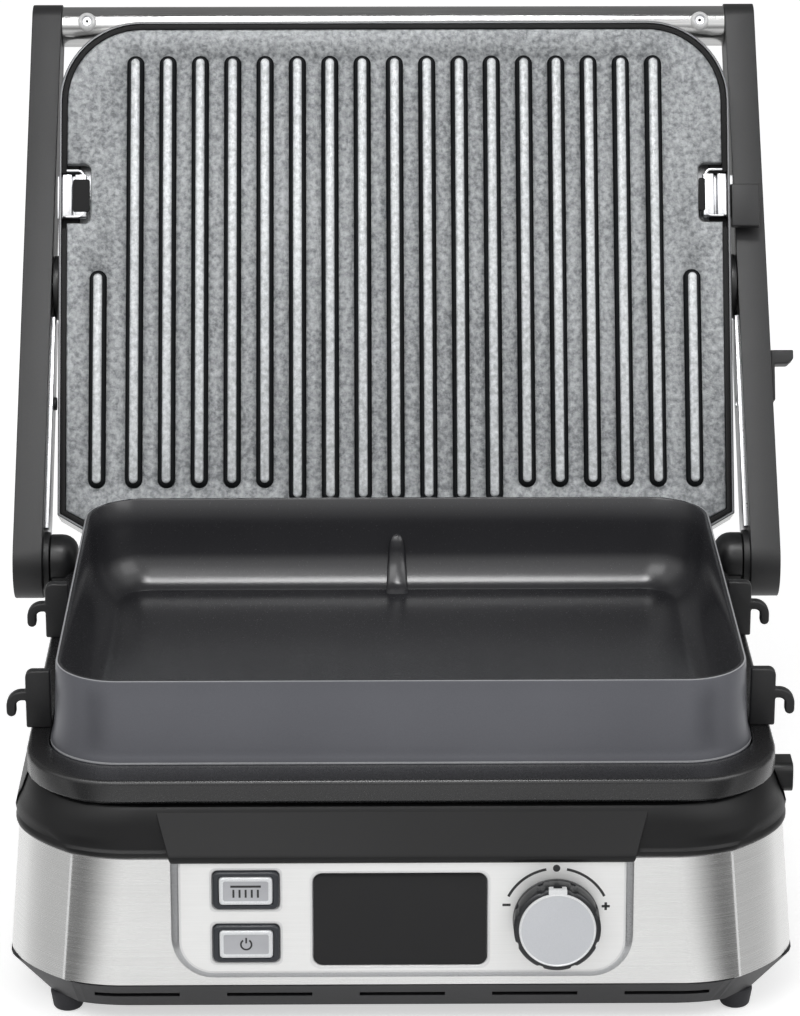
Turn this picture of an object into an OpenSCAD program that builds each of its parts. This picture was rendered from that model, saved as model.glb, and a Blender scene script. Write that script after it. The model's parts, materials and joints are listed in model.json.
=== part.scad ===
// Open countertop contact grill: ribbed lid on swinging arms, deep pan in the base.
// Millimetres. X to the right, Y to the back, Z up; the origin is on the counter, under the
// middle of the open grill. Values are written from the base's own middle, which centred() moves.

/* [Base] */
// Width over the foot of the steel band
base_w = 316.8; // [308:0.4:324]
// Depth over the foot of the steel band
base_d = 264; // [260:1:268]
// Height of the rubber feet
foot_h = 8.5; // [6:0.5:12]
// Radius of a rubber foot at its top
foot_r = 7.2; // [6:0.1:7.6]
// Height of the chamfered bottom cover
cover_h = 11.5; // [9:0.5:14]
// Sideways run of the bottom cover's chamfer
cover_chamfer = 16; // [12:1:18]
// Height of the steel band
band_h = 53.5; // [50:0.5:60]
// How far the band leans in at each side
band_taper = 4.4; // [3:0.2:7]
// Thickness of the steel band
band_t = 1; // [0.8:0.1:1.2]
// Height of the black upper housing
housing_h = 21; // [19:0.5:24]
// Wall of the plastic shells
shell_t = 2.4; // [2:0.1:2.8]

/* [Pan and ring] */
// Width of the pan over its rim
pan_w = 276; // [272:1:277]
// Depth of the pan over its rim
pan_d = 224.5; // [220:0.5:226]
// Height of the pan above the ring
pan_h = 34; // [33:0.5:35]
// Wall of the pan
pan_t = 2.4; // [2:0.1:3]
// Radius of the pan's corners
pan_r = 26; // [20:1:30]
// Height of the ring that carries the pan
ring_h = 9.4; // [8:0.2:11]
// Height of the dark groove under the ring
groove_h = 2.1; // [1.5:0.1:3]
// Height of the four hooked lugs
lug_h = 24.5; // [20:0.5:26]

/* [Lid] */
// Width of the lid over its steel edge
lid_w = 310.6; // [308:0.2:311]
// Distance from the hinge axis to the lid's far edge
lid_far = 253.5; // [250:0.5:254.5]
// Distance from the hinge axis to the lid's near edge
lid_near = 6; // [5:0.5:8]
// Thickness of the lid at its edge
lid_edge = 26; // [24:0.5:27]
// Thickness of the lid in the middle
lid_t = 38; // [34:1:40]
// Radius of the lid's far corners
lid_r = 38; // [30:1:40]
// Distance between neighbouring ribs of the cooking plate
rib_pitch = 15; // [14:0.1:15.5]
// Width of a rib
rib_w = 7.6; // [6:0.1:9]
// Height of a rib
rib_h = 4; // [3:0.1:4.2]
// Diameter of the heating tubes
element_d = 6.5; // [6:0.1:7]

/* [Arms and hinge] */
// Angle of the open lid above the counter's front
open_angle = 117; // [110:1:118]
// Height of the hinge axis above the deck of the base
hinge_z = 12.2; // [12:0.1:13.5]
// Thickness of an arm
arm_t = 13.4; // [12:0.1:14]
// Diameter of the handle tube
tube_d = 19; // [17:0.5:20]
// Diameter of the hinge pins and of the lid's pivot pins
pin_d = 8; // [6:0.5:9]
// Distance from the hinge axis to the lid's pivots
pivot_far = 131; // [130:0.5:132]

/* [Controls] */
// Width of the control panel
panel_w = 183; // [182:1:190]
// Thickness of the control panel
panel_t = 5; // [4:0.5:5.5]
// Width of the display window
display_w = 68.4; // [60:0.4:70]
// Height of the display window
display_h = 38; // [34:0.5:40]
// Diameter of the knob's skirt
knob_d = 34.3; // [30:0.1:36]
// Width of a key
key_w = 21; // [18:0.5:22]
// Height of a key
key_h = 11.4; // [10:0.2:12]
// Travel of a key
key_travel = 0.8; // [0.5:0.1:1]

/* [Drip tray and inlet] */
// Width of the drip tray
tray_w = 132; // [100:2:140]
// Depth of the drip tray
tray_d = 70; // [60:1:74]
// Height of the drip tray
tray_h = 24; // [20:1:26]
// Diameter of the cord hole in the gland
cord_d = 7.4; // [6.6:0.2:8]

/* [Hidden] */
$fn = 48;

// Clearances
run_fit = 0.05;      // round pin turning in its bore
seat_gap = 0.3;      // between pieces that only pass each other
eps = 0.01;

// Heights of the base's stack
band_z = foot_h + cover_h;
lip_z = band_z + band_h;
belt_z = lip_z + 3.5;
deck_z = lip_z + housing_h;
ring_z = deck_z + groove_h;
ring_top = ring_z + ring_h;
pan_seat = ring_z + 1.4;
rim_z = ring_top + pan_h;

// Plan of the base
pan_y = 4.25;
pan_flare = 3;
foot_w = pan_w + 2 * pan_flare;
foot_d = pan_d + 2 * pan_flare;
pan_fit = 0.5;
ring_in_w = foot_w + 2 * pan_fit;
ring_in_d = foot_d + 2 * pan_fit;
ring_side = 8.5;
ring_front = 16.5;
ring_w = ring_in_w + 2 * ring_side;
ring_f = pan_y - ring_in_d / 2 - ring_front;
ring_r = pan_y + ring_in_d / 2 + ring_side;
front_lean = 4.2;
band_front = -base_d / 2 - 1;
band_rear = base_d / 2 - 1;

// Well under the pan: inside the ring, with room behind it for the grease chute
chute_room = 24.75;
well_w = pan_w - 16;
well_d = min(pan_d - 20.5, 2 * (band_rear - chute_room - pan_y));
well_r = 22;
well_h = 14;
flange_w = 3;
sheet_t = 0.8;
heater_x = well_w / 2 - 44;
heater_gap = (well_d - 60) / 3;
clip_l = 8;
clip_w = 12;
clip_t = 1.6;

// Shells of the base
front_chamfer = 6.5;
foot_x = base_w / 2 - cover_chamfer - foot_r - 0.4;
foot_y = base_d / 2 - 22.5;
foot_stem_r = 3;
post_x = base_w / 2 - 18.4;
post_y = base_d / 2 - 37;
post_r = 4.5;
post_foot = 8;
post_web = 2.4;
screw_r = 1.75;
screw_head_r = 3.5;
screw_l = 22;
rear_split = band_rear - 12;
window_x = [-78, 82];
window_y = [5, band_h - 2.9];
skirt_out = band_t + 0.4;
skirt_in = skirt_out + 2.2;
vent_l = 34;
vent_h = 2;
vent_pitch = base_w / 6;
floor_slot_pitch = 12;
floor_slot_l = 60;
side_vent_w = 3.5;
side_vent_pitch = 8;
side_vent_x = base_w / 2 - 38.4;
side_vent_z = [band_z + 16, band_z + 40];

// Brow of the housing over the control panel
brow_z = lip_z + 0.2;
brow_out = 6;
brow_flare = 6;

// Pan, its sensor and the hooked lugs on the ring
pan_floor = pan_seat + 3;
pan_clear_x = foot_w / 2 + seat_gap;
sensor_r = 8;
element_z = pan_seat - seat_gap - element_d / 2;
terminal_l = 30;
lug_in = ring_w / 2 - 9.9;
lug_w = 11.4;
lug_t = 4.5;
lug_y = [-70, 32];
hook_t = 3.9;

// Button on the right that frees the pan
release_y = -74;
release_z = lip_z + 12.6;
release_h = 12.4;
release_l = 15;
release_rod_r = 3;
release_out = 8.8;
release_post_x = ring_w / 2 - 11;

// Power board, grease path and cord inlet
power_board_z = foot_h + 9;
board_t = 1.6;
board_posts_x = [50.4 - base_w / 2, 126.4 - base_w / 2];
board_posts_y = [-78, -18];
board_rim = 6;
tray_z = band_z + 8;
tray_wall = 2;
tray_back = band_rear - 1;
runner_t = 4;
door_rim = 4;
chute_w = 60;
chute_flange = 4;
chute_wall = 2;
chute_y = [pan_y + well_d / 2 + 2.5, pan_y + well_d / 2 + 10.5];
cord_x = base_w / 2 - 50.4;
cord_z = band_z + 16;
gland_r = cord_d / 2 + 3.4;
gland_l = 12;
terminal_w = 46;
terminal_d = 14;
terminal_h = 16;
terminal_y = band_rear - 58;

// Hinge, arms and lid, measured along the lid (u) and off its face (v)
hinge_y = pan_y + pan_d / 2 + 9.5;
axis_z = deck_z + hinge_z;
lid_face = -8;
pivot_v = lid_face - 18;
tube_u = lid_far + 9.3;
tube_v = lid_face - 44;
tube_r = tube_d / 2;
arm_in = max(lid_w / 2 + 4.2, ring_w / 2 + 9.5);
arm_in_top = arm_in - 2.2;
arm_out = arm_in + arm_t;
arm_out_top = arm_in_top + arm_t + 0.5;
arm_top = tube_u + 27.2;
arm_foot = -30;
arm_depth = 80;
pin_skin = 5;
arm_r1 = 17;
arm_r2 = 10.5;
tower_in = ring_w / 2 - 6;
tower_out = arm_in - 3.1;
tower_w = 12.4;
tower_r = 12;
tower_back = 1.4;
tower_skin = 1.6;
tower_skin_z = lip_z + 8;
stop_u = pivot_far - 56.4;
stop_v = -15;
stop_r = 3;
stop_end = arm_in + 4.5;
plug_r = 7.9;
screw_x = arm_in_top - 12;
screw_dome = 4.7;
lever_u = 85;
lever_v = -17;
lever_travel = 8;
lever_reach = 10.6;
lever_w = 12;
lever_h = 6;
strap_in = arm_in - 2.1;
boss_r = 15;
boss_in = lid_w / 2 - 10;
boss_out = arm_inner(pivot_far) - 0.5;
tube_wall = 1.5;
tube_end = arm_inner(arm_top) - 0.05;

// Lid and its cooking plate
lid_mid = (lid_far + lid_near) / 2;
edge_t = 1.2;
frame_t = 2.6;
plate_w = lid_w - 2 * (edge_t + frame_t);
plate_t = 5;
field_v = lid_face - 0.2;
plate_back = field_v - plate_t;
frame_back = plate_back - 8;
frame_boss_r = 7;
thermostat_r = 8;
lid_heater_x = plate_w / 2 - 63.5;
lid_heater_gap = (lid_far - lid_near - 91.5) / 3;
lid_screw_r = 1.3;
lid_screw_x = [45.3 - lid_w / 2, lid_w / 2 - 45.3];
lid_screw_u = [lid_near + edge_t + frame_t + 2.4, lid_far - edge_t - frame_t - 2.4];
notch_u = pivot_far + 41;
notch_l = 28;
notch_d = 11;
ribs_mid = 3;
ribs_long = floor((plate_w / 2 - 26) / rib_pitch);
rib_far = lid_far - 17.2;
rib_near = lid_near + 28.8;
rib_near_mid = lid_near + 22;
rib_short_far = lid_mid + 5.2;
short_rib_x = plate_w / 2 - 14.7;
tab_u = [notch_u - 16, notch_u + 4];
latch_u = [notch_u - 11, notch_u + 9];
tab_v = [lid_face - 5.5, lid_face - 0.5];
tab_out = 13.4;
latch_t = 1.2;
lid_slot = 0.6;

// Panel frame: x across, y up the band's front, z out of it
panel_lean = atan(front_lean / band_h);
display_x = -0.9;
display_y = band_h - 23.9;
key_x = -61.6;
key_y = [band_h - 11.3, band_h - 33.5];
knob_x = 60.6;
knob_y = band_h - 24;
knob_l = 13;
board_z = -9;
board_y = [6, band_h - 2.5];
encoder_w = 14;
switch_top = board_z + 4;
panel_y0 = 4;
panel_y1 = band_h - 0.3;
encoder_r = 4.5;
shaft_r = 3;
standoff_x = [key_x + 19.8, knob_x - knob_d / 2 - 5];
standoff_y = [8.4, band_h - 5.5];

// Middle of the open grill over all, from the middle of its base
centre_x = lever_reach / 2;
centre_y = 75.8;

// ---------- helpers ----------

function bezier(a, b, c, n) =
  [for (i = [0:n]) let (t = i / n) (1 - t) * (1 - t) * a + 2 * t * (1 - t) * b + t * t * c];

function arc(cx, cy, r, a0, a1, n) =
  [for (i = [0:n]) let (a = a0 + (a1 - a0) * i / n) [cx + r * cos(a), cy + r * sin(a)]];

function flip_x(p) = [for (i = [len(p) - 1:-1:0]) [-p[i][0], p[i][1]]];

// Plan of the base: bowed front, creased corner, slanted facet, straight side, round rear corner.
// cut scales the facet.
function base_plan(w, front, rear, inset = 0, cut = 1) =
  let (
    x = w / 2 - inset, f = front + inset, r = rear - inset,
    cx = w / 2 - 23.4 * cut - inset * 0.9, cy = f + 7 * cut, fy = front + 33 * cut, rr = 20,
    right = concat(
      bezier([cx - 20, f], [cx - 7, f + 0.5], [cx, cy], 5),
      bezier([x - 3 * cut, fy - 6 * cut], [x, fy - 2 * cut], [x, fy + 6], 3),
      arc(x - rr, r - rr, rr, 0, 90, 6)))
  concat(right, flip_x(right));

function round_rect(w, d, r, n = 7) =
  concat(arc(w / 2 - r, -d / 2 + r, r, -90, 0, n), arc(w / 2 - r, d / 2 - r, r, 0, 90, n),
    arc(-w / 2 + r, d / 2 - r, r, 90, 180, n), arc(-w / 2 + r, -d / 2 + r, r, 180, 270, n));

// Outline of the lid, in x and u, drawn in by inset.
function lid_plan(inset = 0) =
  let (
    x = lid_w / 2 - inset, far = lid_far - inset, near = lid_near + inset, r = lid_r - inset,
    cut = 16, run = 27.7,
    right = concat(
      [[x - run + inset * 0.3, near], [x - 0.6, near + cut - inset * 0.45]],
      arc(x - r, far - r, r, 0, 90, 8)))
  concat(right, flip_x(right));

// Solid through a stack of [height, outline] with the same number of points.
module loft(levels) {
  n = len(levels[0][1]);
  k = len(levels);
  points = [for (level = levels) for (p = level[1]) [p[0], p[1], level[0]]];
  sides = [for (s = [0:k - 2]) for (i = [0:n - 1]) let (a = s * n + i, b = s * n + (i + 1) % n)
    each [[a, a + n, b + n], [a, b + n, b]]];
  polyhedron(points, concat([[for (i = [0:n - 1]) i]], sides,
    [[for (i = [n - 1:-1:0]) (k - 1) * n + i]]), convexity = 8);
}

module rounded(w, d, r) {
  square([w - 2 * r, d], center = true);
  square([w, d - 2 * r], center = true);
  for (x = [-1, 1], y = [-1, 1]) translate([x * (w / 2 - r), y * (d / 2 - r)]) circle(r);
}

// Straight slot with round ends along y.
module slot_2d(w, y0, y1) {
  translate([0, (y0 + y1) / 2]) square([w, y1 - y0 - w], center = true);
  for (y = [y0 + w / 2, y1 - w / 2]) translate([0, y]) circle(w / 2);
}

module box(x0, x1, y0, y1, z0, z1) {
  translate([x0, y0, z0]) cube([x1 - x0, y1 - y0, z1 - z0]);
}

// Cylinder along X from x0 to x1.
module rod_x(x0, x1, r) {
  translate([min(x0, x1), 0, 0]) rotate([0, 90, 0]) cylinder(h = abs(x1 - x0), r = r);
}

module both_sides() {
  for (s = [0, 1]) mirror([s, 0, 0]) children();
}

// Places children drawn in lid coordinates: x, u, v.
module on_lid() {
  translate([0, hinge_y, axis_z]) rotate([180 - open_angle, 0, 0]) children();
}

// Places children drawn on the control panel: x, up, out.
module on_panel() {
  translate([0, band_front, band_z]) rotate([90 - panel_lean, 0, 0]) children();
}

// Levels of the band's outer face, drawn in by inset, from z0 to z1.
function band_levels(inset, z0, z1) = [for (z = [z0, z1])
  let (t = (z - band_z) / band_h)
  [z, base_plan(base_w - 2 * band_taper * t, band_front + front_lean * t, band_rear - 2 * t, inset)]];

// Meandering heating tube in the xy plane: rows along x, half turns at their ends.
module heater_tube(half_x, row_gap, r) {
  rows = [-1.5, -0.5, 0.5, 1.5] * row_gap;
  turn = row_gap / 2;
  for (i = [0:3]) translate([0, rows[i], 0]) rod_x(-half_x - (i == 0 || i == 3 ? terminal_l : 0), half_x, r);
  for (y = [-row_gap, row_gap]) translate([half_x, y, 0])
    rotate([0, 0, -90]) rotate_extrude(angle = 180) translate([turn, 0]) circle(r);
  translate([-half_x, 0, 0]) rotate([0, 0, 90]) rotate_extrude(angle = 180) translate([turn, 0]) circle(r);
}

// Moves the base's own frame so that the origin is under the middle of the open grill.
module centred() {
  translate([-centre_x, -centre_y, 0]) children();
}

// ---------- base shells ----------

module bottom_cover() {
  color("#454547") centred() difference() {
    union() {
      difference() {
        loft([[foot_h, bottom_plan(0)], [band_z, base_plan(base_w, band_front, band_rear)]]);
        loft([[foot_h + shell_t, bottom_plan(1.2)],
          [band_z + eps, base_plan(base_w, band_front, band_rear, shell_t + 1.6)]]);
      }
      for (x = [-post_x, post_x], y = [-post_y, post_y])
        translate([x, y, foot_h]) cylinder(h = post_foot, r = post_r + 0.5);
      both_sides() box(tray_w / 2 - 8 - runner_t, tray_w / 2 - 8, tray_back - tray_d, band_rear - 8,
        foot_h + 1, tray_z - seat_gap);
      for (x = board_posts_x, y = board_posts_y)
        translate([x, y, foot_h + 1]) cylinder(h = power_board_z - foot_h - 1, r = 3.5);
    }
    for (x = [-post_x, post_x], y = [-post_y, post_y]) translate([x, y, 0]) {
      translate([0, 0, foot_h - 1]) cylinder(h = 4.2, r = screw_head_r + 0.3);
      cylinder(h = band_z, r = screw_r + 0.3);
    }
    for (x = [-foot_x, foot_x], y = [-foot_y, foot_y])
      translate([x, y, 0]) cylinder(h = band_z, r = foot_stem_r + run_fit);
    for (i = [-2:2]) translate([i * vent_pitch, band_front, foot_h + 5.4])
      box(-vent_l / 2, vent_l / 2, -2, 12, 0, vent_h);
    for (i = [-4:4]) translate([i * floor_slot_pitch, -40, foot_h - 1])
      linear_extrude(shell_t + 2) slot_2d(4, -floor_slot_l / 2, floor_slot_l / 2);
  }
}

// Plan of the flat under the bottom cover, inside its chamfer.
function bottom_plan(inset) = base_plan(base_w - 2 * cover_chamfer, band_front + front_chamfer,
  band_rear - front_chamfer, inset, 0.55);

module rubber_feet() {
  stem_top = foot_h + shell_t + 2.6;
  color("#2a2a2b") centred() for (x = [-foot_x, foot_x], y = [-foot_y, foot_y])
    translate([x, y, 0]) rotate_extrude() polygon([[0, 0], [foot_r - 1.4, 0], [foot_r, foot_h],
      [foot_stem_r, foot_h], [foot_stem_r, stem_top], [0, stem_top]]);
}

module cover_screws() {
  color("#b8babc") centred() for (x = [-post_x, post_x], y = [-post_y, post_y])
    translate([x, y, foot_h + 0.9]) {
      difference() {
        cylinder(h = 2.3, r = screw_head_r);
        for (a = [0, 90]) rotate([0, 0, a]) translate([0, 0, 0.5]) cube([4, 0.9, 1.4], center = true);
      }
      cylinder(h = screw_l, r = screw_r);
    }
}

module steel_band() {
  color("#c9cacb") centred() difference() {
    loft(band_levels(0, band_z, lip_z));
    loft(band_levels(band_t, band_z - eps, lip_z + eps));
    box(-base_w, base_w, rear_split, base_d, band_z - 1, lip_z + 1);
    on_panel() box(window_x[0], window_x[1], window_y[0], window_y[1], -5, 5);
  }
}

module rear_cover() {
  color("#333335") centred() difference() {
    loft(band_levels(0, band_z, lip_z));
    loft(band_levels(shell_t - 1.1, band_z - eps, lip_z + eps));
    box(-base_w, base_w, -base_d, rear_split + seat_gap, band_z - 1, lip_z + 1);
    box(-tray_w / 2 - 1, tray_w / 2 + 1, rear_split, base_d, tray_z - 1, tray_z + tray_h + 1);
    translate([cord_x, band_rear + 4, cord_z]) rotate([90, 0, 0]) cylinder(h = 20, r = gland_r + run_fit);
    for (i = [0:3]) translate([i * side_vent_pitch - side_vent_x, 0, 0])
      box(0, side_vent_w, rear_split + 6, base_d, side_vent_z[0], side_vent_z[1]);
  }
}

module upper_housing() {
  color("#373738") centred() {
    difference() {
      union() {
        loft([[lip_z, base_plan(base_w - 2 * band_taper + 1.6, band_front + front_lean - 0.4, band_rear - 2)],
          [belt_z, base_plan(base_w - 2 * band_taper + 3, band_front + front_lean - 2, band_rear - 2)],
          [deck_z, base_plan(ring_w - 0.6, ring_f + 0.3, ring_r - 0.4)]]);
        brow();
      }
      loft([[lip_z - eps,
        base_plan(base_w - 2 * band_taper, band_front + front_lean, band_rear - 2, skirt_in)],
        [deck_z - shell_t, base_plan(ring_w - 2, ring_f + 1, ring_r - 1, shell_t)]]);
      translate([0, pan_y, deck_z - 10]) linear_extrude(11) rounded(well_w, well_d, well_r);
      box(-chute_w / 2, chute_w / 2, chute_y[0], chute_y[1], deck_z - 10, deck_z + 1);
      both_sides() box(tower_out - tower_skin - seat_gap, base_w, hinge_y - tower_r - seat_gap,
        hinge_y + tower_back + seat_gap, tower_skin_z - seat_gap, deck_z + 1);
      translate([ring_w / 2, release_y, release_z]) rotate([90, 0, 90]) translate([0, 0, -10])
        linear_extrude(20) rounded(release_l + 2 * seat_gap, release_h + 2 * seat_gap, 4);
    }
    difference() {
      loft(band_levels(skirt_out, band_z + seat_gap, lip_z + 1));
      loft(band_levels(skirt_in, band_z, lip_z + 1.1));
      on_panel() box(window_x[0] - 4, window_x[1] + 4, window_y[0] - 1, window_y[1] + 1, -9, 5);
      box(-tray_w / 2 - 2, tray_w / 2 + 2, rear_split - 3, base_d, tray_z - 2, tray_z + tray_h + 2);
      translate([cord_x, band_rear + 4, cord_z]) rotate([90, 0, 0]) cylinder(h = 20, r = gland_r + 4);
      for (i = [0:3]) translate([i * side_vent_pitch - side_vent_x, 0, 0])
        box(-1, side_vent_w + 1, rear_split + 4, base_d, side_vent_z[0], side_vent_z[1]);
    }
    both_sides() for (y = [-post_y, post_y]) screw_post(y);
    translate([release_post_x, release_y, release_z]) difference() {
      box(-2.5, 2.5, -7, 7, -5.5, deck_z - shell_t - release_z + 0.1);
      rod_x(-5, 5, release_rod_r + 0.2);
    }
  }
}

// Post for a cover screw, webbed to the side wall so that it clears the well above it.
module screw_post(y) {
  z0 = foot_h + post_foot + seat_gap;
  z1 = deck_z - well_h - 1;
  difference() {
    union() {
      translate([post_x, y, z0]) cylinder(h = z1 - z0, r = post_r);
      box(post_x, base_w / 2 - band_taper - skirt_out - 0.6, y - post_web / 2, y + post_web / 2, z0 + 20, z1);
    }
    translate([post_x, y, 0]) cylinder(h = foot_h + screw_l + 2, r = screw_r + run_fit);
  }
}

// Raised brow of the housing over the control panel.
module brow() {
  y_band = band_front + front_lean - 0.4;
  y_lip = y_band - brow_out;
  low = panel_w / 2;
  high = low + brow_flare;
  intersection() {
    rotate([90, 0, 90]) translate([0, 0, -high]) linear_extrude(2 * high)
      polygon([[y_band + 3, brow_z], [y_lip, brow_z], [y_lip - 0.2, brow_z + 3], [ring_f + 0.3, deck_z],
        [ring_f + 3, deck_z]]);
    rotate([90, 0, 0]) translate([0, 0, -base_d / 2]) linear_extrude(base_d * 1.2)
      polygon([[-low, brow_z - 1], [low, brow_z - 1], [high, deck_z + 1], [-high, deck_z + 1]]);
  }
}

module pan_ring() {
  color("#464648") centred() difference() {
    union() {
      loft([[ring_z, ring_plan(0.6)], [ring_z + 1.2, ring_plan(0)], [ring_top - 1.2, ring_plan(0)],
        [ring_top, ring_plan(1)]]);
      loft([[deck_z, ring_plan(4)], [ring_z + 0.1, ring_plan(4)]]);
    }
    translate([0, pan_y, 0]) loft([[pan_seat, round_rect(ring_in_w, ring_in_d, pan_r + pan_flare)],
      [ring_top + 1, round_rect(ring_in_w, ring_in_d, pan_r + pan_flare)]]);
    translate([0, pan_y, 0]) loft([[deck_z - 1, round_rect(ring_in_w - 9, ring_in_d - 9, pan_r)],
      [ring_top + 1, round_rect(ring_in_w - 9, ring_in_d - 9, pan_r)]]);
    both_sides() box(tower_in - seat_gap, base_w, hinge_y - tower_r - seat_gap, base_d,
      deck_z - 1, ring_top + 1);
  }
}

function ring_plan(inset) =
  let (r1 = 38 - inset, r2 = 26 - inset, x = ring_w / 2 - inset, f = ring_f + inset, r = ring_r - inset,
    right = concat(arc(x - r1, f + r1, r1, -90, 0, 8), arc(x - r2, r - r2, r2, 0, 90, 8)))
  concat(right, flip_x(right));

// One lug in the xz plane: plate with a hook that curls out and down.
module lug_2d() {
  difference() {
    union() {
      translate([lug_in, 0]) square([lug_w, lug_h - 3]);
      translate([lug_in, 0]) square([lug_w - 3, lug_h]);
      translate([lug_in + lug_w - 3, lug_h - 3]) circle(3);
    }
  }
  translate([lug_in + lug_w - 1, lug_h * 0.48]) {
    square([2.6, hook_t]);
    translate([2.6, -2.4]) intersection() {
      difference() {
        circle(hook_t + 2.4);
        circle(2.4);
      }
      square([hook_t + 3, hook_t + 3]);
    }
    translate([2.6 + 2.4, -5]) square([hook_t, 2.61]);
    translate([2.6 + 2.4 + hook_t / 2, -5]) circle(hook_t / 2);
  }
}

module hook_lugs() {
  color("#38383a") centred() both_sides() for (y = lug_y)
    translate([0, y + lug_t / 2, ring_top]) rotate([90, 0, 0]) linear_extrude(lug_t) difference() {
      lug_2d();
      translate([0, -1]) square([pan_clear_x, lug_h + 2]);
    }
}

module cooking_pan() {
  color("#66676b") centred() translate([0, pan_y, 0]) {
    difference() {
      loft([[pan_seat, round_rect(foot_w - 3, foot_d - 3, pan_r)],
        [ring_top, round_rect(foot_w, foot_d, pan_r + pan_flare)],
        [ring_top + 5, round_rect(foot_w - 3.2, foot_d - 3.2, pan_r + 1.4)],
        [ring_top + 12, round_rect(foot_w - 4.6, foot_d - 4.6, pan_r + 0.8)],
        [rim_z, round_rect(pan_w, pan_d, pan_r)]]);
      loft([[pan_floor, round_rect(pan_w - 20, pan_d - 20, pan_r - 8)],
        [pan_floor + 2, round_rect(pan_w - 12, pan_d - 12, pan_r - 5)],
        [pan_floor + 6, round_rect(pan_w - 7.4, pan_d - 7.4, pan_r - 3)],
        [rim_z + 1, round_rect(pan_w - 2 * pan_t, pan_d - 2 * pan_t, pan_r - pan_t)]]);
    }
    translate([0, pan_d / 2 - 3.6, pan_floor - 0.5]) {
      cylinder(h = 18, r1 = 6, r2 = 3);
      translate([0, 0, 18]) sphere(3);
    }
  }
}

module lower_element() {
  color("#5a5552") centred() translate([0, pan_y, element_z])
    heater_tube(heater_x, heater_gap, element_d / 2);
}

module lower_reflector() {
  color("#b9bbbd") centred() translate([0, pan_y, 0]) difference() {
    union() {
      translate([0, 0, deck_z]) linear_extrude(sheet_t)
        rounded(well_w + 2 * flange_w, well_d + 2 * flange_w, well_r + flange_w);
      translate([0, 0, deck_z - well_h]) linear_extrude(well_h + 0.5)
        rounded(well_w - 2 * seat_gap, well_d - 2 * seat_gap, well_r - seat_gap);
    }
    translate([0, 0, deck_z - well_h + sheet_t]) linear_extrude(well_h + 1)
      rounded(well_w - 2.2, well_d - 2.2, well_r - 1.1);
    translate([0, 0, deck_z - well_h - 6]) cylinder(h = 20, r = sensor_r + 1);
  }
}

module pan_sensor() {
  color("#a7a9ab") centred() translate([0, pan_y, 0]) {
    translate([0, 0, deck_z - well_h - 4])
      cylinder(h = pan_seat - seat_gap - deck_z + well_h + 4, r = sensor_r);
    translate([0, 0, deck_z - well_h - 1.2]) cylinder(h = 1, r = sensor_r + 4);
  }
}

// Stamped saddle over a heating tube, from a sheet at z0 to the tube's axis at z_tube.
module saddle(z0, z_tube) {
  difference() {
    box(-clip_l / 2, clip_l / 2, -clip_w / 2, clip_w / 2, z0, z_tube + element_d / 2 + 0.2);
    translate([0, 0, z_tube]) rod_x(-clip_l, clip_l, element_d / 2 + 0.1);
    box(-clip_l, clip_l, clip_t - clip_w / 2, clip_w / 2 - clip_t, z0 - eps, z_tube);
  }
}

module element_clips() {
  color("#c3c4c6") centred() translate([0, pan_y, 0])
    for (x = [26 - heater_x, heater_x - 26], y = [-1.5 * heater_gap, 1.5 * heater_gap])
      translate([x, y, 0]) saddle(deck_z - well_h + sheet_t, element_z);
}

// ---------- controls ----------

module panel_outline(inset) {
  w = panel_w - 2 * inset;
  r = 17 - inset;
  translate([0, panel_y0 + inset + r]) {
    translate([-w / 2, 0]) square([w, panel_y1 - panel_y0 - r - inset]);
    for (x = [-1, 1]) translate([x * (w / 2 - r), 0]) circle(r);
    translate([-w / 2 + r, -r]) square([w - 2 * r, r + 1]);
  }
}

module control_panel() {
  color("#ebebea") centred() on_panel() {
    difference() {
      union() {
        translate([0, 0, 0.05]) linear_extrude(2.2) panel_outline(0);
        translate([0, 0, 1]) linear_extrude(panel_t - 2) panel_outline(1.6);
        translate([0, 0, 2]) linear_extrude(panel_t - 2) panel_outline(4);
      }
      translate([display_x, display_y, -1]) linear_extrude(panel_t + 2)
        rounded(display_w + 0.4, display_h + 0.4, 3.8);
      for (y = key_y) translate([key_x, y, -1]) linear_extrude(panel_t + 2)
        rounded(key_w + 5.4, key_h + 4.4, 2.1);
      translate([knob_x, knob_y, -1]) cylinder(h = panel_t + 2, r = encoder_r + 1);
    }
    for (x = standoff_x, y = standoff_y)
      translate([x, y, board_z]) cylinder(h = -board_z + 0.5, r = 2.4);
  }
}

module display_window() {
  color("#333335") centred() on_panel() translate([display_x, display_y, 2.2])
    linear_extrude(panel_t - 2.4) rounded(display_w, display_h, 3.6);
}

module display_module() {
  color("#2c3a33") centred() on_panel() {
    translate([display_x, display_y, -3]) linear_extrude(5.2) rounded(display_w - 4, display_h - 4, 1.5);
    for (x = [-24, 24]) translate([display_x + x, display_y, board_z]) box(-3, 3, -10, 10, 0, 6.2);
  }
}

module key_frames() {
  color("#8f9194") centred() on_panel() for (y = key_y) translate([key_x, y, 0]) difference() {
    translate([0, 0, 0.4]) linear_extrude(panel_t + 0.8) rounded(key_w + 5.2, key_h + 4.2, 2);
    translate([0, 0, -1]) linear_extrude(panel_t + 4) rounded(key_w + 0.5, key_h + 0.5, 1.7);
  }
}

module key(y) {
  color("#c9cbce") centred() on_panel() translate([key_x, y, 0]) {
    translate([0, 0, 1.6]) linear_extrude(panel_t + 0.2) rounded(key_w, key_h, 1.5);
    translate([0, 0, switch_top + key_travel + seat_gap])
      cylinder(h = 2 - switch_top - key_travel - seat_gap, r = 2.5);
  }
}

module upper_plate_key() { key(key_y[0]); }

module power_key() { key(key_y[1]); }

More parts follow.
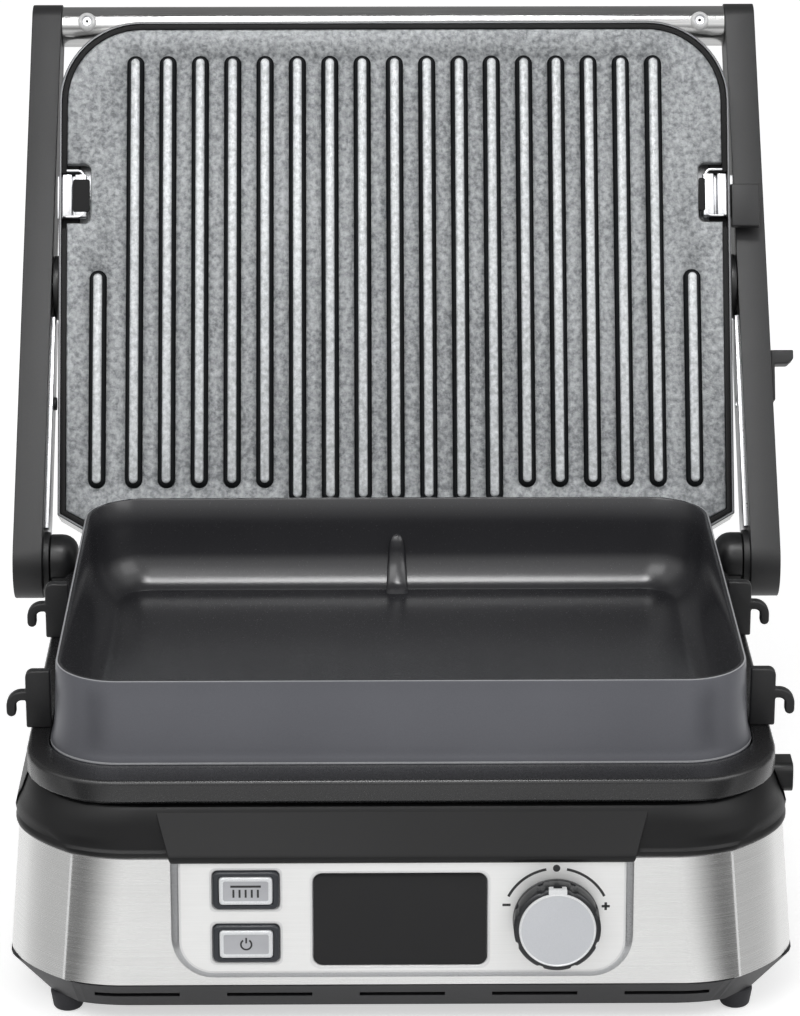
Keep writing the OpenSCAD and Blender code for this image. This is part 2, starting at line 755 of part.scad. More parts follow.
module control_board() {
  color("#2f5a3c") centred() on_panel() {
    box(window_x[0] - 1, window_x[1] - 1, board_y[0], board_y[1], board_z - board_t, board_z);
    for (y = key_y) translate([key_x, y, board_z - eps]) {
      box(-3, 3, -3, 3, 0, 3.4);
      cylinder(h = switch_top - board_z + eps, r = 1.7);
    }
    box(6, 18, 8, 20, board_z - 4.4, board_z - board_t + 0.1);
    box(-30, -12, 34, 46, board_z - 7, board_z - board_t + 0.1);
  }
}

module dial_encoder() {
  color("#6f7276") centred() on_panel() translate([knob_x, knob_y, 0]) difference() {
    union() {
      box(-encoder_w / 2, encoder_w / 2, -encoder_w / 2, encoder_w / 2, board_z, board_z + 6.5);
      translate([0, 0, board_z + 6]) cylinder(h = panel_t - 1 - board_z - 6, r = encoder_r);
    }
    translate([0, 0, board_z + 1]) cylinder(h = 30, r = shaft_r + run_fit);
  }
}

module dial_shaft() {
  color("#b5b7b9") centred() on_panel() translate([knob_x, knob_y, board_z + 1 + seat_gap])
    cylinder(h = panel_t + knob_l - 4 - board_z - 1 - seat_gap, r = shaft_r);
}

module dial_knob() {
  color("#4a4b4d") centred() on_panel() translate([knob_x, knob_y, panel_t + seat_gap]) difference() {
    union() {
      cylinder(h = 3, r = knob_d / 2);
      translate([0, 0, 3 - eps]) cylinder(h = knob_l - 4, r1 = knob_d / 2 - 0.5, r2 = knob_d / 2 - 1.2);
    }
    translate([0, 0, -1]) cylinder(h = knob_l - 3.3, r = shaft_r + 0.01);
    translate([0, 0, -1]) difference() {
      cylinder(h = 7, r = knob_d / 2 - 3);
      cylinder(h = 8, r = shaft_r + 2.2);
    }
  }
}

module dial_face() {
  color("#c4c5c8") centred() on_panel() translate([knob_x, knob_y, panel_t + seat_gap + knob_l - 1]) {
    cylinder(h = 1.4, r = knob_d / 2 - 1.7);
    translate([0, knob_d / 2 - 4.6, 0.6]) box(-3.2, 3.2, -1.3, 1.3, 0, 1.3);
  }
}

module power_board() {
  color("#2f5a3c") centred() translate([board_posts_x[0], board_posts_y[0], power_board_z]) {
    box(-board_rim, board_posts_x[1] - board_posts_x[0] + board_rim,
      -board_rim, board_posts_y[1] - board_posts_y[0] + board_rim, 0, board_t);
    translate([0, 0, board_t - 0.1]) {
      for (x = [10, 32]) box(x, x + 16, 4, 24, 0, 15.5);
      box(12, 40, 34, 58, 0, 18.5);
      translate([60, 44, 0]) cylinder(h = 18, r = 6);
      translate([62, 16, 0]) cylinder(h = 14, r = 5);
    }
  }
}

module terminal_block() {
  color("#e4e0d4") centred() translate([cord_x - 1, terminal_y, foot_h + shell_t]) difference() {
    box(-terminal_w / 2, terminal_w / 2, -terminal_d / 2, terminal_d / 2, 0, terminal_h);
    for (i = [-1:1]) translate([i * terminal_w * 0.35, 0, 6]) cylinder(h = terminal_h, r = 3);
  }
}

// ---------- grease path and cord inlet ----------

module drip_chute() {
  color("#3b3b3d") centred() difference() {
    union() {
      box(-chute_w / 2 - chute_flange, chute_w / 2 + chute_flange, chute_y[0] - 0.8, chute_y[1] + 1.5,
        deck_z - shell_t - 2, deck_z - shell_t);
      box(0.4 - chute_w / 2, chute_w / 2 - 0.4, chute_y[0] + 0.4, chute_y[1] - 0.4,
        tray_z + tray_h + 2, deck_z);
    }
    box(chute_wall - chute_w / 2, chute_w / 2 - chute_wall, chute_y[0] + chute_wall, chute_y[1] - chute_wall,
      tray_z, deck_z + 1);
  }
}

module drip_tray() {
  color("#3a3a3c") centred() {
    difference() {
      box(-tray_w / 2, tray_w / 2, tray_back - tray_d, tray_back, tray_z, tray_z + tray_h);
      box(tray_wall - tray_w / 2, tray_w / 2 - tray_wall, tray_back - tray_d + tray_wall,
        tray_back - tray_wall, tray_z + tray_wall, tray_z + tray_h + 1);
    }
    difference() {
      box(-tray_w / 2 - door_rim, tray_w / 2 + door_rim, band_rear + 0.4, band_rear + 3,
        tray_z - door_rim, tray_z + tray_h + door_rim);
      box(-22, 22, band_rear + 1.6, band_rear + 4, tray_z + 4, tray_z + 14);
    }
    box(-tray_w / 2 + 6, tray_w / 2 - 6, tray_back - 1, band_rear + 1, tray_z + 2, tray_z + tray_h - 4);
  }
}

module cord_gland() {
  color("#262627") centred() translate([cord_x, band_rear, cord_z]) rotate([90, 0, 0]) difference() {
    union() {
      translate([0, 0, -2]) cylinder(h = 2.1, r = gland_r + 2.2);
      translate([0, 0, -0.5]) cylinder(h = gland_l, r = gland_r);
      translate([0, 0, 5]) cylinder(h = 3, r = gland_r + 1.6);
    }
    translate([0, 0, -5]) cylinder(h = 30, r = cord_d / 2);
  }
}

module lower_release_button() {
  color("#2f2f31") centred() translate([0, release_y, release_z]) {
    rotate([90, 0, 90]) translate([0, 0, ring_w / 2 - 3]) linear_extrude(release_out + 3)
      rounded(release_l, release_h, 3.7);
    rod_x(release_post_x - 4, ring_w / 2 - 2, release_rod_r);
  }
}

// ---------- hinge and arms ----------

module hinge_tower() {
  translate([0, hinge_y, axis_z]) difference() {
    union() {
      rod_x(tower_out - tower_w, tower_out, tower_r);
      box(tower_in, tower_out, -tower_r, tower_back, -hinge_z, 0);
      box(tower_out - tower_skin, tower_out, -tower_r, tower_back, tower_skin_z - axis_z, 0);
    }
    rod_x(tower_in - 1, tower_out + 1, pin_d / 2 + run_fit);
  }
}

module left_hinge_tower() {
  color("#303032") centred() mirror([1, 0, 0]) hinge_tower();
}

module right_hinge_tower() {
  color("#303032") centred() hinge_tower();
}

module hinge_pins() {
  color("#9a9c9f") centred() both_sides() translate([0, hinge_y, axis_z])
    rod_x(tower_out - tower_w - 1.5, arm_out - pin_skin, pin_d / 2);
}

// Side profile of an arm in u and v: bar between two round ends.
module arm_profile(r1, r2) {
  reach = norm([tube_u, tube_v]);
  lean = atan2(tube_v, tube_u);
  bend = asin((r1 - r2) / reach);
  h1 = r1 * cos(bend) - 3 * eps;
  h2 = r2 * cos(bend) - 3 * eps;
  rotate(lean) {
    circle(r1);
    translate([reach, 0]) circle(r2);
    polygon([[r1 * sin(bend), h1], [reach + r2 * sin(bend), h2], [reach + r2 * sin(bend), -h2],
      [r1 * sin(bend), -h1]]);
  }
}

// Distance of the arm's inner face from the middle at u.
function arm_inner(u) = arm_in - (arm_in - arm_in_top) * u / (tube_u + 9.2);

// Bar, collar round the hinge pin, and the bores for both pins and the handle's plug.
module arm_body() {
  on_lid() difference() {
    union() {
      intersection() {
        rotate([90, 0, 90]) translate([0, 0, tower_in]) linear_extrude(arm_out + 1 - tower_in)
          arm_profile(arm_r1, arm_r2);
        translate([0, 0, -arm_depth]) linear_extrude(1.5 * arm_depth)
          polygon([[arm_inner(arm_foot), arm_foot], [arm_inner(arm_top), arm_top],
            [arm_out_top, arm_top], [arm_out, arm_foot]]);
      }
      rod_x(tower_out + seat_gap, arm_in + 1, tower_r + 1);
    }
    rod_x(tower_in, arm_out - pin_skin + seat_gap, pin_d / 2 + eps);
    translate([0, pivot_far, pivot_v]) rod_x(tower_in, arm_out - 4, pin_d / 2 + eps);
    translate([0, tube_u, tube_v]) rod_x(tower_in, arm_out - 4, plug_r + run_fit);
  }
}

module left_arm() {
  color("#3a3a3b") centred() mirror([1, 0, 0]) difference() {
    arm_body();
    on_lid() translate([0, stop_u, stop_v]) rod_x(tower_in, stop_end + 1, stop_r + eps);
  }
}

module right_arm() {
  color("#3a3a3b") centred() difference() {
    arm_body();
    on_lid() box(arm_out - 6, arm_out + 5, lever_u - lever_w / 2 - seat_gap,
      lever_u + lever_w / 2 + lever_travel + seat_gap, lever_v - lever_h / 2 - seat_gap,
      lever_v + lever_h / 2 + seat_gap);
  }
}

// Steel bar along the inner face of an arm, from the hinge to the lid's pivot.
module arm_strap() {
  u0 = tower_r + 2;
  u1 = pivot_far - boss_r - 1;
  on_lid() difference() {
    intersection() {
      rotate([90, 0, 90]) translate([0, 0, tower_in]) linear_extrude(arm_out - tower_in)
        arm_profile(arm_r1 - 7, arm_r2 - 2);
      translate([0, 0, -arm_depth]) linear_extrude(1.5 * arm_depth)
        polygon([[strap_in, u0], [strap_in - 0.6, u1], [arm_inner(u1) - eps, u1], [arm_inner(u0) - eps, u0]]);
    }
    translate([0, stop_u, stop_v]) rod_x(tower_in, stop_end + 1, stop_r + 0.2);
  }
}

module left_arm_strap() {
  color("#c6c8ca") centred() mirror([1, 0, 0]) arm_strap();
}

module right_arm_strap() {
  color("#c6c8ca") centred() arm_strap();
}

module handle_tube() {
  color("#c2c3c5") centred() on_lid() translate([0, tube_u, tube_v]) difference() {
    rod_x(-tube_end, tube_end, tube_r);
    rod_x(-lid_w, lid_w, tube_r - tube_wall);
    both_sides() translate([screw_x, 0, 0]) cylinder(h = 20, r = screw_r + 0.2);
  }
}

module handle_plugs() {
  color("#2c2c2e") centred() on_lid() translate([0, tube_u, tube_v]) both_sides() difference() {
    rod_x(screw_x - 8, arm_out_top - 4.4, plug_r);
    translate([screw_x, 0, -2]) cylinder(h = 20, r = screw_r + eps);
  }
}

module handle_screws() {
  color("#d0d1d3") centred() on_lid() translate([0, tube_u, tube_v]) both_sides() translate([screw_x, 0, 0]) {
    difference() {
      translate([0, 0, tube_r - 1.2]) cylinder(h = 2.8, r = screw_dome);
      rod_x(-10, 10, tube_r + 0.02);
      translate([0, 0, tube_r + 1.4]) cylinder(h = 1, r = 3.2);
    }
    cylinder(h = tube_r + 1.2, r = screw_r);
    translate([0, 0, tube_r + 0.3]) cylinder(h = 1.7, r = 2.6);
  }
}

module float_stop_pin() {
  color("#2b2b2c") centred() on_lid() mirror([1, 0, 0]) translate([0, stop_u, stop_v])
    rod_x(lid_w / 2 + 0.5, stop_end, stop_r);
}

module lid_pivot_pins() {
  color("#9a9c9f") centred() on_lid() translate([0, pivot_far, pivot_v]) both_sides()
    rod_x(boss_in + 0.6, arm_out - 4 - seat_gap, pin_d / 2);
}

module hinge_release_lever() {
  color("#3c3c3e") centred() on_lid() {
    box(arm_out + 0.1, arm_out + 2, lever_u - 10, lever_u + 13.5, lever_v - 4.5, lever_v + 4.5);
    translate([0, 0, lever_v - 4.5]) linear_extrude(9)
      polygon([[arm_out + 1, lever_u + 7], [arm_out + 8, lever_u + 7], [arm_out + lever_reach, lever_u + 9.4],
        [arm_out + lever_reach, lever_u + 13.5], [arm_out + 1, lever_u + 13.5]]);
    box(arm_out - 5, arm_out + 1, lever_u - lever_w / 2, lever_u + lever_w / 2,
      lever_v - lever_h / 2, lever_v + lever_h / 2);
  }
}

// ---------- lid ----------

function scaled(points, s) = [for (p = points) [p[0] * s, lid_mid + (p[1] - lid_mid) * s]];

module lid_cover() {
  back = lid_face - lid_edge;
  top = lid_face - lid_t;
  color("#bfc0c2") centred() on_lid() difference() {
    loft([[top, scaled(lid_plan(0), 0.8)], [top + 5, scaled(lid_plan(0), 0.9)], [back, lid_plan(0)],
      [lid_face, lid_plan(0)]]);
    loft([[top + edge_t, scaled(lid_plan(edge_t), 0.79)], [top + 5 + edge_t, scaled(lid_plan(edge_t), 0.89)],
      [back + edge_t, lid_plan(edge_t)], [lid_face + 1, lid_plan(edge_t)]]);
    translate([0, pivot_far, pivot_v]) rod_x(-lid_w, lid_w, pin_d / 2 + 1);
    latch_slots(3);
  }
}

// Slots through the lid's sides for the plate's clip and tab, cut to depth.
module latch_slots(depth) {
  both_sides() box(lid_w / 2 - depth, lid_w / 2 + 3, tab_u[0] - lid_slot, latch_u[1] + lid_slot,
    tab_v[0] - lid_slot, lid_face + 1);
}

// Black inner frame round the cooking plate, with the walls that carry it.
module lid_frame() {
  color("#1f2022") centred() on_lid() difference() {
    union() {
      loft([[frame_back, lid_plan(edge_t + 0.15)], [lid_face - 0.3, lid_plan(edge_t + 0.15)]]);
      both_sides() translate([0, pivot_far, pivot_v]) rod_x(boss_in, lid_w / 2 - edge_t - 0.6, frame_boss_r);
    }
    loft([[plate_back - 0.2, lid_plan(edge_t + frame_t - 0.3)],
      [lid_face + 1, lid_plan(edge_t + frame_t - 0.3)]]);
    loft([[frame_back - 12, lid_plan(edge_t + frame_t + 5)], [lid_face + 1, lid_plan(edge_t + frame_t + 5)]]);
    translate([0, pivot_far, pivot_v]) rod_x(-lid_w, lid_w, pin_d / 2 + 1);
    lid_screw_holes();
    latch_slots(26);
  }
}

// Bearing bosses on the lid's sides: the arms' pivot pins turn in them.
module pivot_bosses() {
  color("#29292b") centred() on_lid() translate([0, pivot_far, pivot_v]) both_sides() difference() {
    union() {
      rod_x(lid_w / 2 + 0.05, boss_out, boss_r);
      rod_x(boss_in, lid_w / 2 + 0.1, pin_d / 2 + 0.9);
    }
    rod_x(boss_in - 1, lid_w, pin_d / 2 + run_fit);
  }
}

module upper_plate() {
  color("#a9acae") centred() on_lid() {
    difference() {
      loft([[plate_back, lid_plan(edge_t + frame_t)], [field_v, lid_plan(edge_t + frame_t)]]);
      both_sides() translate([plate_w / 2, notch_u, plate_back - 1]) linear_extrude(plate_t + 2)
        rounded(2 * notch_d, notch_l, 4);
    }
    for (i = [-ribs_long:ribs_long]) translate([i * rib_pitch, 0, field_v - 0.5]) linear_extrude(rib_h + 0.5)
      slot_2d(rib_w, abs(i) <= ribs_mid ? rib_near_mid : rib_near, rib_far);
    both_sides() translate([short_rib_x, 0, field_v - 0.5]) linear_extrude(rib_h + 0.5)
      slot_2d(rib_w, rib_near, rib_short_far);
  }
}

module upper_element() {
  color("#5a5552") centred() on_lid() translate([0, lid_mid, plate_back - 0.4 - element_d / 2])
    heater_tube(lid_heater_x, lid_heater_gap, element_d / 2);
}

module upper_reflector() {
  color("#b9bbbd") centred() on_lid() {
    difference() {
      loft([[frame_back - 1, lid_plan(edge_t + 0.8)], [frame_back - seat_gap / 2, lid_plan(edge_t + 0.8)]]);
      translate([0, lid_mid, frame_back - 5]) cylinder(h = 10, r = thermostat_r + 0.5);
      both_sides() translate([0, pivot_far, pivot_v]) rod_x(boss_in - 4, lid_w, frame_boss_r + 1);
      lid_screw_holes();
    }
  }
}

module upper_element_clips() {
  color("#c3c4c6") centred() on_lid() translate([0, lid_mid, 0])
    for (x = [28 - lid_heater_x, lid_heater_x - 28], u = [-1.5 * lid_heater_gap, 1.5 * lid_heater_gap])
      translate([x, u, 0]) saddle(frame_back - seat_gap / 2, plate_back - 0.4 - element_d / 2);
}

module upper_thermostat() {
  color("#8e9093") centred() on_lid() translate([0, lid_mid, 0]) {
    translate([0, 0, frame_back - 9]) cylinder(h = plate_back - 0.3 - frame_back + 9, r = thermostat_r);
    translate([0, 0, frame_back - 2.1]) cylinder(h = 1, r = thermostat_r + 4);
  }
}

// Spring clip that holds the plate at the left notch.
module left_plate_clip() {
  color("#cfd1d3") centred() on_lid() mirror([1, 0, 0]) plate_latch(lid_w / 2 + 0.9);
}

// Latch nose over the plate's notch, drawn in x, u, v with its outer end at x_out.
module plate_latch(x_out) {
  x_in = plate_w / 2 - notch_d + 2.2;
  box(x_in, x_out, latch_u[0], latch_u[1], tab_v[0], tab_v[0] + latch_t);
  box(x_in, x_in + 5, latch_u[0], latch_u[1], tab_v[0], tab_v[1]);
  box(lid_w / 2 - 6, lid_w / 2 - 1.8, latch_u[0], latch_u[1], tab_v[0], tab_v[1]);
}

module plate_release_tab() {
  color("#4b4c4e") centred() on_lid() {
    plate_latch(lid_w / 2 + 2);
    box(lid_w / 2 + 0.5, lid_w / 2 + tab_out, tab_u[0], tab_u[1], tab_v[0], tab_v[1]);
  }
}

module lid_frame_screws() {
  color("#b8babc") centred() on_lid() for (x = lid_screw_x, u = lid_screw_u)
    translate([x, u, frame_back - 2.8]) {
      cylinder(h = 1.8, r = lid_screw_r * 2);
      cylinder(h = 8, r = lid_screw_r);
    }
}

// Holes for the lid's screws through the reflector and into the frame.
module lid_screw_holes() {
  for (x = lid_screw_x, u = lid_screw_u)
    translate([x, u, frame_back - 3]) cylinder(h = 9, r = lid_screw_r + eps);
}

bottom_cover();
rubber_feet();
cover_screws();
steel_band();
rear_cover();
upper_housing();
pan_ring();
hook_lugs();
cooking_pan();
lower_element();
lower_reflector();
pan_sensor();
element_clips();
control_panel();
display_window();
display_module();
key_frames();
upper_plate_key();
power_key();
control_board();
dial_encoder();
dial_shaft();
dial_knob();
dial_face();
power_board();
terminal_block();
drip_chute();
drip_tray();
cord_gland();
lower_release_button();
left_hinge_tower();
right_hinge_tower();
hinge_pins();
left_arm();
right_arm();
left_arm_strap();
right_arm_strap();
handle_tube();
handle_plugs();
handle_screws();
float_stop_pin();
lid_pivot_pins();
hinge_release_lever();
lid_cover();
lid_frame();
pivot_bosses();
upper_plate();
upper_element();
upper_reflector();
upper_element_clips();
upper_thermostat();
left_plate_clip();
plate_release_tab();
lid_frame_screws();
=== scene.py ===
"""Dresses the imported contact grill: shapes, finishes, studio and camera.

Sizes are millimetres in the base's own frame: X to the right, Y to the back, Z up,
with the origin on the counter under the middle of the base. Placement matrices turn
them into the frame's metres. The lid and its arms are drawn in lid coordinates
(x across, u from the hinge, v off the cooking face) and the controls in panel
coordinates (x across, y up the slope, z out of it).
"""

import json
import logging
import math
from dataclasses import dataclass, field
from enum import Enum
from typing import Any, Callable, Collection, Optional, Sequence

import bmesh
import bpy
from bmesh.types import BMEdge, BMFace, BMesh, BMVert
from mathutils import Matrix, Vector

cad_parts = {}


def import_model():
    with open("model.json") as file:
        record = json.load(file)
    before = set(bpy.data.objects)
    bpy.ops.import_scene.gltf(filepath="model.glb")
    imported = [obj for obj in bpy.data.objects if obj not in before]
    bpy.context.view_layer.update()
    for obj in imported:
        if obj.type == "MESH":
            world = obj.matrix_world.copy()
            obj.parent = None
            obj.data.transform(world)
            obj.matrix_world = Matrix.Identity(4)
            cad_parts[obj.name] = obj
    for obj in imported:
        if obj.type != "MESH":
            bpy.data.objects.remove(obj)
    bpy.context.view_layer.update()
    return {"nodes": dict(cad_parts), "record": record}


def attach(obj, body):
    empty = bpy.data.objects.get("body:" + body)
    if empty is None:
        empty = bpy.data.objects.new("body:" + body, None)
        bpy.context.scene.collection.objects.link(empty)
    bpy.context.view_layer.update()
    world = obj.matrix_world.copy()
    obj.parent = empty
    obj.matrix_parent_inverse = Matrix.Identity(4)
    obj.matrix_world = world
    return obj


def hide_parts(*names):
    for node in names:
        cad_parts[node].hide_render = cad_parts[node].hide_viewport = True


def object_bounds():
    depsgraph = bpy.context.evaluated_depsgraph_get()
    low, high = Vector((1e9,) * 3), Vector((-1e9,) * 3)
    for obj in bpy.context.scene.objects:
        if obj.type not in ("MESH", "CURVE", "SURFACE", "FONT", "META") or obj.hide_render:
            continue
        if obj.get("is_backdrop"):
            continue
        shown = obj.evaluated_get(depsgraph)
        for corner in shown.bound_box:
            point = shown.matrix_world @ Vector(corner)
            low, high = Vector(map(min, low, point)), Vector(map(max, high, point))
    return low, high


LOG = logging.getLogger("grill")
Point = tuple[float, float]
Outline = list[Point]

MM = 0.001
CENTRE = Vector((5.3, 75.8, 0.0))
HINGE = Vector((0.0, 126.0, 106.7))
OPEN_ANGLE = 117.0
PANEL_FOOT = Vector((0.0, -133.0, 20.0))
PANEL_LEAN = math.degrees(math.atan(4.2 / 53.5))
CREASE_IN = 23.4
LID_HALF, LID_FAR, LID_NEAR, LID_CORNER = 155.3, 253.5, 6.0, 38.0
PRINT_THICK = 0.06


def place(origin: Vector, turn_x: float) -> Matrix:
    """Returns the matrix from millimetres in a frame turned about X, in degrees, to metres."""
    return (
        Matrix.Scale(MM, 4)
        @ Matrix.Translation(origin - CENTRE)
        @ Matrix.Rotation(math.radians(turn_x), 4, "X")
    )


ON_BASE = place(Vector(), 0.0)
ON_LID = place(HINGE, 180.0 - OPEN_ANGLE)
ON_PANEL = place(PANEL_FOOT, 90.0 - PANEL_LEAN)


# ---------------------------------------------------------------- finishes


def linear(hex_colour: str) -> tuple[float, float, float, float]:
    """Turns an sRGB hex colour into linear RGBA.

    Args:
        hex_colour: Six hex digits with a leading hash.

    Returns:
        Linear red, green, blue and an alpha of one.
    """
    raw = [int(hex_colour[i : i + 2], 16) / 255 for i in (1, 3, 5)]
    red, green, blue = (c / 12.92 if c <= 0.04045 else ((c + 0.055) / 1.055) ** 2.4 for c in raw)
    return red, green, blue, 1.0


def add(tree: bpy.types.NodeTree, kind: str, inputs: dict[Any, Any], **settings: Any) -> bpy.types.Node:
    """Adds one node with its settings, and links or sets its inputs.

    Args:
        tree: The node tree.
        kind: The node's type name.
        inputs: Input name or index to a socket to link, or a value to set.
        **settings: Attributes of the node.

    Returns:
        The new node.
    """
    node = tree.nodes.new(kind)
    for name, value in settings.items():
        setattr(node, name, value)
    for name, value in inputs.items():
        if isinstance(value, bpy.types.NodeSocket):
            tree.links.new(value, node.inputs[name])
        else:
            node.inputs[name].default_value = value
    return node


class Pattern(Enum):
    """How a surface was made, which decides what its fine structure looks like."""

    MOULDED = "moulded"
    BRUSHED = "brushed"
    CAST = "cast"
    PLAIN = "plain"


@dataclass(frozen=True)
class Finish:
    """One real surface and the numbers that give its look.

    colour and second are the two ends of its slight colour variation, grain_mm is the
    real size of its grain, stretch makes the grain longer along an axis, and depth_mm
    is how deep the grain is.
    """

    name: str
    colour: str
    second: str
    roughness: float
    pattern: Pattern = Pattern.MOULDED
    metallic: float = 0.0
    grain_mm: float = 0.6
    stretch: tuple[float, float, float] = (1.0, 1.0, 1.0)
    depth_mm: float = 0.02
    spread: float = 0.06
    cloud_mm: float = 60.0
    cloud_share: float = 1.0
    contrast: float = 0.28
    coat: float = 0.0
    specular: float = 0.5

    def build(self) -> bpy.types.Material:
        """Makes the material, unless it is there already.

        Returns:
            The material.
        """
        known = bpy.data.materials.get(self.name)
        if known:
            return known
        material = bpy.data.materials.new(self.name)
        material.use_nodes = True
        tree = material.node_tree
        tree.nodes.clear()
        place_at = add(tree, "ShaderNodeTexCoord", {}).outputs["Object"]
        grain_at = add(
            tree,
            "ShaderNodeMapping",
            {"Vector": place_at, "Scale": [s / (self.grain_mm * MM) for s in self.stretch]},
        ).outputs["Vector"]
        detail = {Pattern.BRUSHED: 2.0, Pattern.CAST: 5.0}.get(self.pattern, 3.0)
        grain = add(
            tree,
            "ShaderNodeTexNoise",
            {"Vector": grain_at, "Scale": 1.0, "Detail": detail, "Roughness": 0.62},
        ).outputs["Fac"]
        cloud = add(
            tree,
            "ShaderNodeTexNoise",
            {"Vector": place_at, "Scale": 1 / (self.cloud_mm * MM), "Detail": 2.0},
        ).outputs["Fac"]
        both = add(
            tree, "ShaderNodeMath", {0: cloud, 1: self.cloud_share, 2: grain}, operation="MULTIPLY_ADD"
        ).outputs[0]
        middle = 0.5 + 0.5 * self.cloud_share
        share = add(
            tree,
            "ShaderNodeMapRange",
            {"Value": both, "From Min": middle - self.contrast, "From Max": middle + self.contrast},
        ).outputs[0]
        colour = add(
            tree,
            "ShaderNodeMix",
            {0: share, "A": linear(self.colour), "B": linear(self.second)},
            data_type="RGBA",
        )
        roughness = add(
            tree,
            "ShaderNodeMapRange",
            {
                "Value": grain,
                "From Min": 0.3,
                "From Max": 0.7,
                "To Min": self.roughness - self.spread,
                "To Max": self.roughness + self.spread,
            },
        ).outputs[0]
        shader = add(
            tree,
            "ShaderNodeBsdfPrincipled",
            {
                "Base Color": colour.outputs[2],
                "Roughness": roughness,
                "Metallic": self.metallic,
                "Coat Weight": self.coat,
                "Coat Roughness": 0.12,
                "Specular IOR Level": self.specular,
            },
        )
        if self.depth_mm > 0:
            bump = add(
                tree,
                "ShaderNodeBump",
                {"Height": grain, "Strength": 1.0, "Distance": self.depth_mm * MM},
            )
            tree.links.new(bump.outputs["Normal"], shader.inputs["Normal"])
        add(tree, "ShaderNodeOutputMaterial", {"Surface": shader.outputs[0]})
        return material


# Injection-moulded ABS over the band: near black, with a grain so fine that it reads as satin.
HOUSING_BLACK = Finish(
    "fine_grained_black_abs", "#0f0f10", "#151516", 0.42, grain_mm=0.5, depth_mm=0.008, specular=0.3,
)
# Satin ABS of towers, rear cover, button and tray: a tighter sheen than the housing's.
ABS_BLACK = Finish("satin_black_abs", "#19191a", "#202021", 0.36, grain_mm=0.5, depth_mm=0.01, specular=0.42)
# Charcoal ABS of the bottom cover: matt, so its vents stay readable.
ABS_GREY = Finish("moulded_charcoal_abs", "#2e2e30", "#363638", 0.48, grain_mm=0.5, depth_mm=0.02)
# Glass-filled nylon of arms, lugs and levers: a slight orange peel and soft highlights.
ARM_NYLON = Finish(
    "glass_filled_nylon", "#222223", "#2b2b2c", 0.46, grain_mm=0.7, depth_mm=0.02, specular=0.42,
)
# Moulded rubber: no clear highlight at all.
FOOT_RUBBER = Finish("foot_rubber", "#1c1c1d", "#232324", 0.7, grain_mm=0.4, depth_mm=0.02)
# Stainless sheet brushed along the band. The lines are drawn coarser than the real grit, to show.
BAND_STEEL = Finish(
    "horizontally_brushed_stainless", "#dededd", "#ebebea", 0.26, Pattern.BRUSHED, 1.0,
    grain_mm=0.3, stretch=(0.008, 0.008, 1.0), depth_mm=0.0012, spread=0.03,
)
# Stainless lid brushed from side to side, duller than the band.
LID_STEEL = Finish(
    "cross_brushed_stainless", "#a6a6a6", "#bebebd", 0.3, Pattern.BRUSHED, 1.0,
    grain_mm=0.3, stretch=(0.01, 1.0, 1.0), depth_mm=0.002, spread=0.05,
)
# Steel tube brushed along its length, the sharpest mirror of the steels.
TUBE_STEEL = Finish(
    "lengthwise_brushed_tube", "#b2b2b2", "#cccccb", 0.15, Pattern.BRUSHED, 1.0,
    grain_mm=0.3, stretch=(0.01, 1.0, 1.0), depth_mm=0.003, spread=0.06,
)
# Finely brushed panel: pale and even, with barely visible lines.
PANEL_FACE = Finish(
    "panel_brushed_stainless", "#f3f3f2", "#fafaf9", 0.42, Pattern.BRUSHED, 0.5,
    grain_mm=0.3, stretch=(0.008, 1.0, 1.0), depth_mm=0.001, spread=0.03,
)
# Bright steel painted as a highlight on the band's crease and top edge, the panel's pressed edges and the
# screws' heads.
STEEL_EDGE_HIGHLIGHT = Finish(
    "painted_steel_edge_highlight", "#e2e2e2", "#f0f0f0", 0.4, Pattern.BRUSHED, 0.15, grain_mm=0.4, depth_mm=0.001,
)
# Matt black of the frame between lid and plate, painted as the shade of a gap; the same black is painted as
# shade in the clip's and latch's slots and the screws' drives.
BLACK_FRAME_AND_GAP_SHADE = Finish(
    "black_frame_and_painted_gap_shade", "#121213", "#19191a", 0.6, grain_mm=0.6, depth_mm=0.01, specular=0.2,
)
# Rim of the lid's steel at its cooking face: greyer than its brushed face.
LID_RIM = Finish(
    "lid_rim_grey", "#6c6d6f", "#7e7f81", 0.4, Pattern.BRUSHED, 0.6, grain_mm=0.5, depth_mm=0.003,
)
# Pressed shoulder of the panel and the walls of its holes: steel painted darker than the face as their shade,
# and mirroring the table.
PANEL_SHOULDER_SHADE = Finish(
    "panel_shoulder_painted_shade", "#b4b5b7", "#c8c9cb", 0.3, Pattern.BRUSHED, 1.0, grain_mm=0.4, depth_mm=0.003,
)
# Pressed zinc-grey sheet of straps, clips and reflectors.
PLAIN_STEEL = Finish(
    "pressed_steel", "#c9cacc", "#dcdddf", 0.32, Pattern.BRUSHED, 1.0, grain_mm=0.8, depth_mm=0.004,
)
# Ground pins: darker and even.
PIN_STEEL = Finish(
    "ground_pin_steel", "#9fa1a4", "#b4b6b9", 0.35, Pattern.BRUSHED, 1.0, grain_mm=0.4, depth_mm=0.003,
)
# Sheath of a heating tube, browned by heat.
ELEMENT_STEEL = Finish(
    "heat_tinted_steel", "#5d5450", "#736a64", 0.5, Pattern.CAST, 1.0, grain_mm=1.2, depth_mm=0.01,
)
# Speckled non-stick on cast aluminium: a mottle of light and dark grey specks, 2 to 3 mm across.
PLATE_COAT = Finish(
    "speckled_nonstick_cast_plate", "#6a6d70", "#babdbf", 0.42, Pattern.CAST, 0.15,
    grain_mm=2.4, depth_mm=0.42, spread=0.1, cloud_mm=120.0, cloud_share=0.3, contrast=0.17,
)
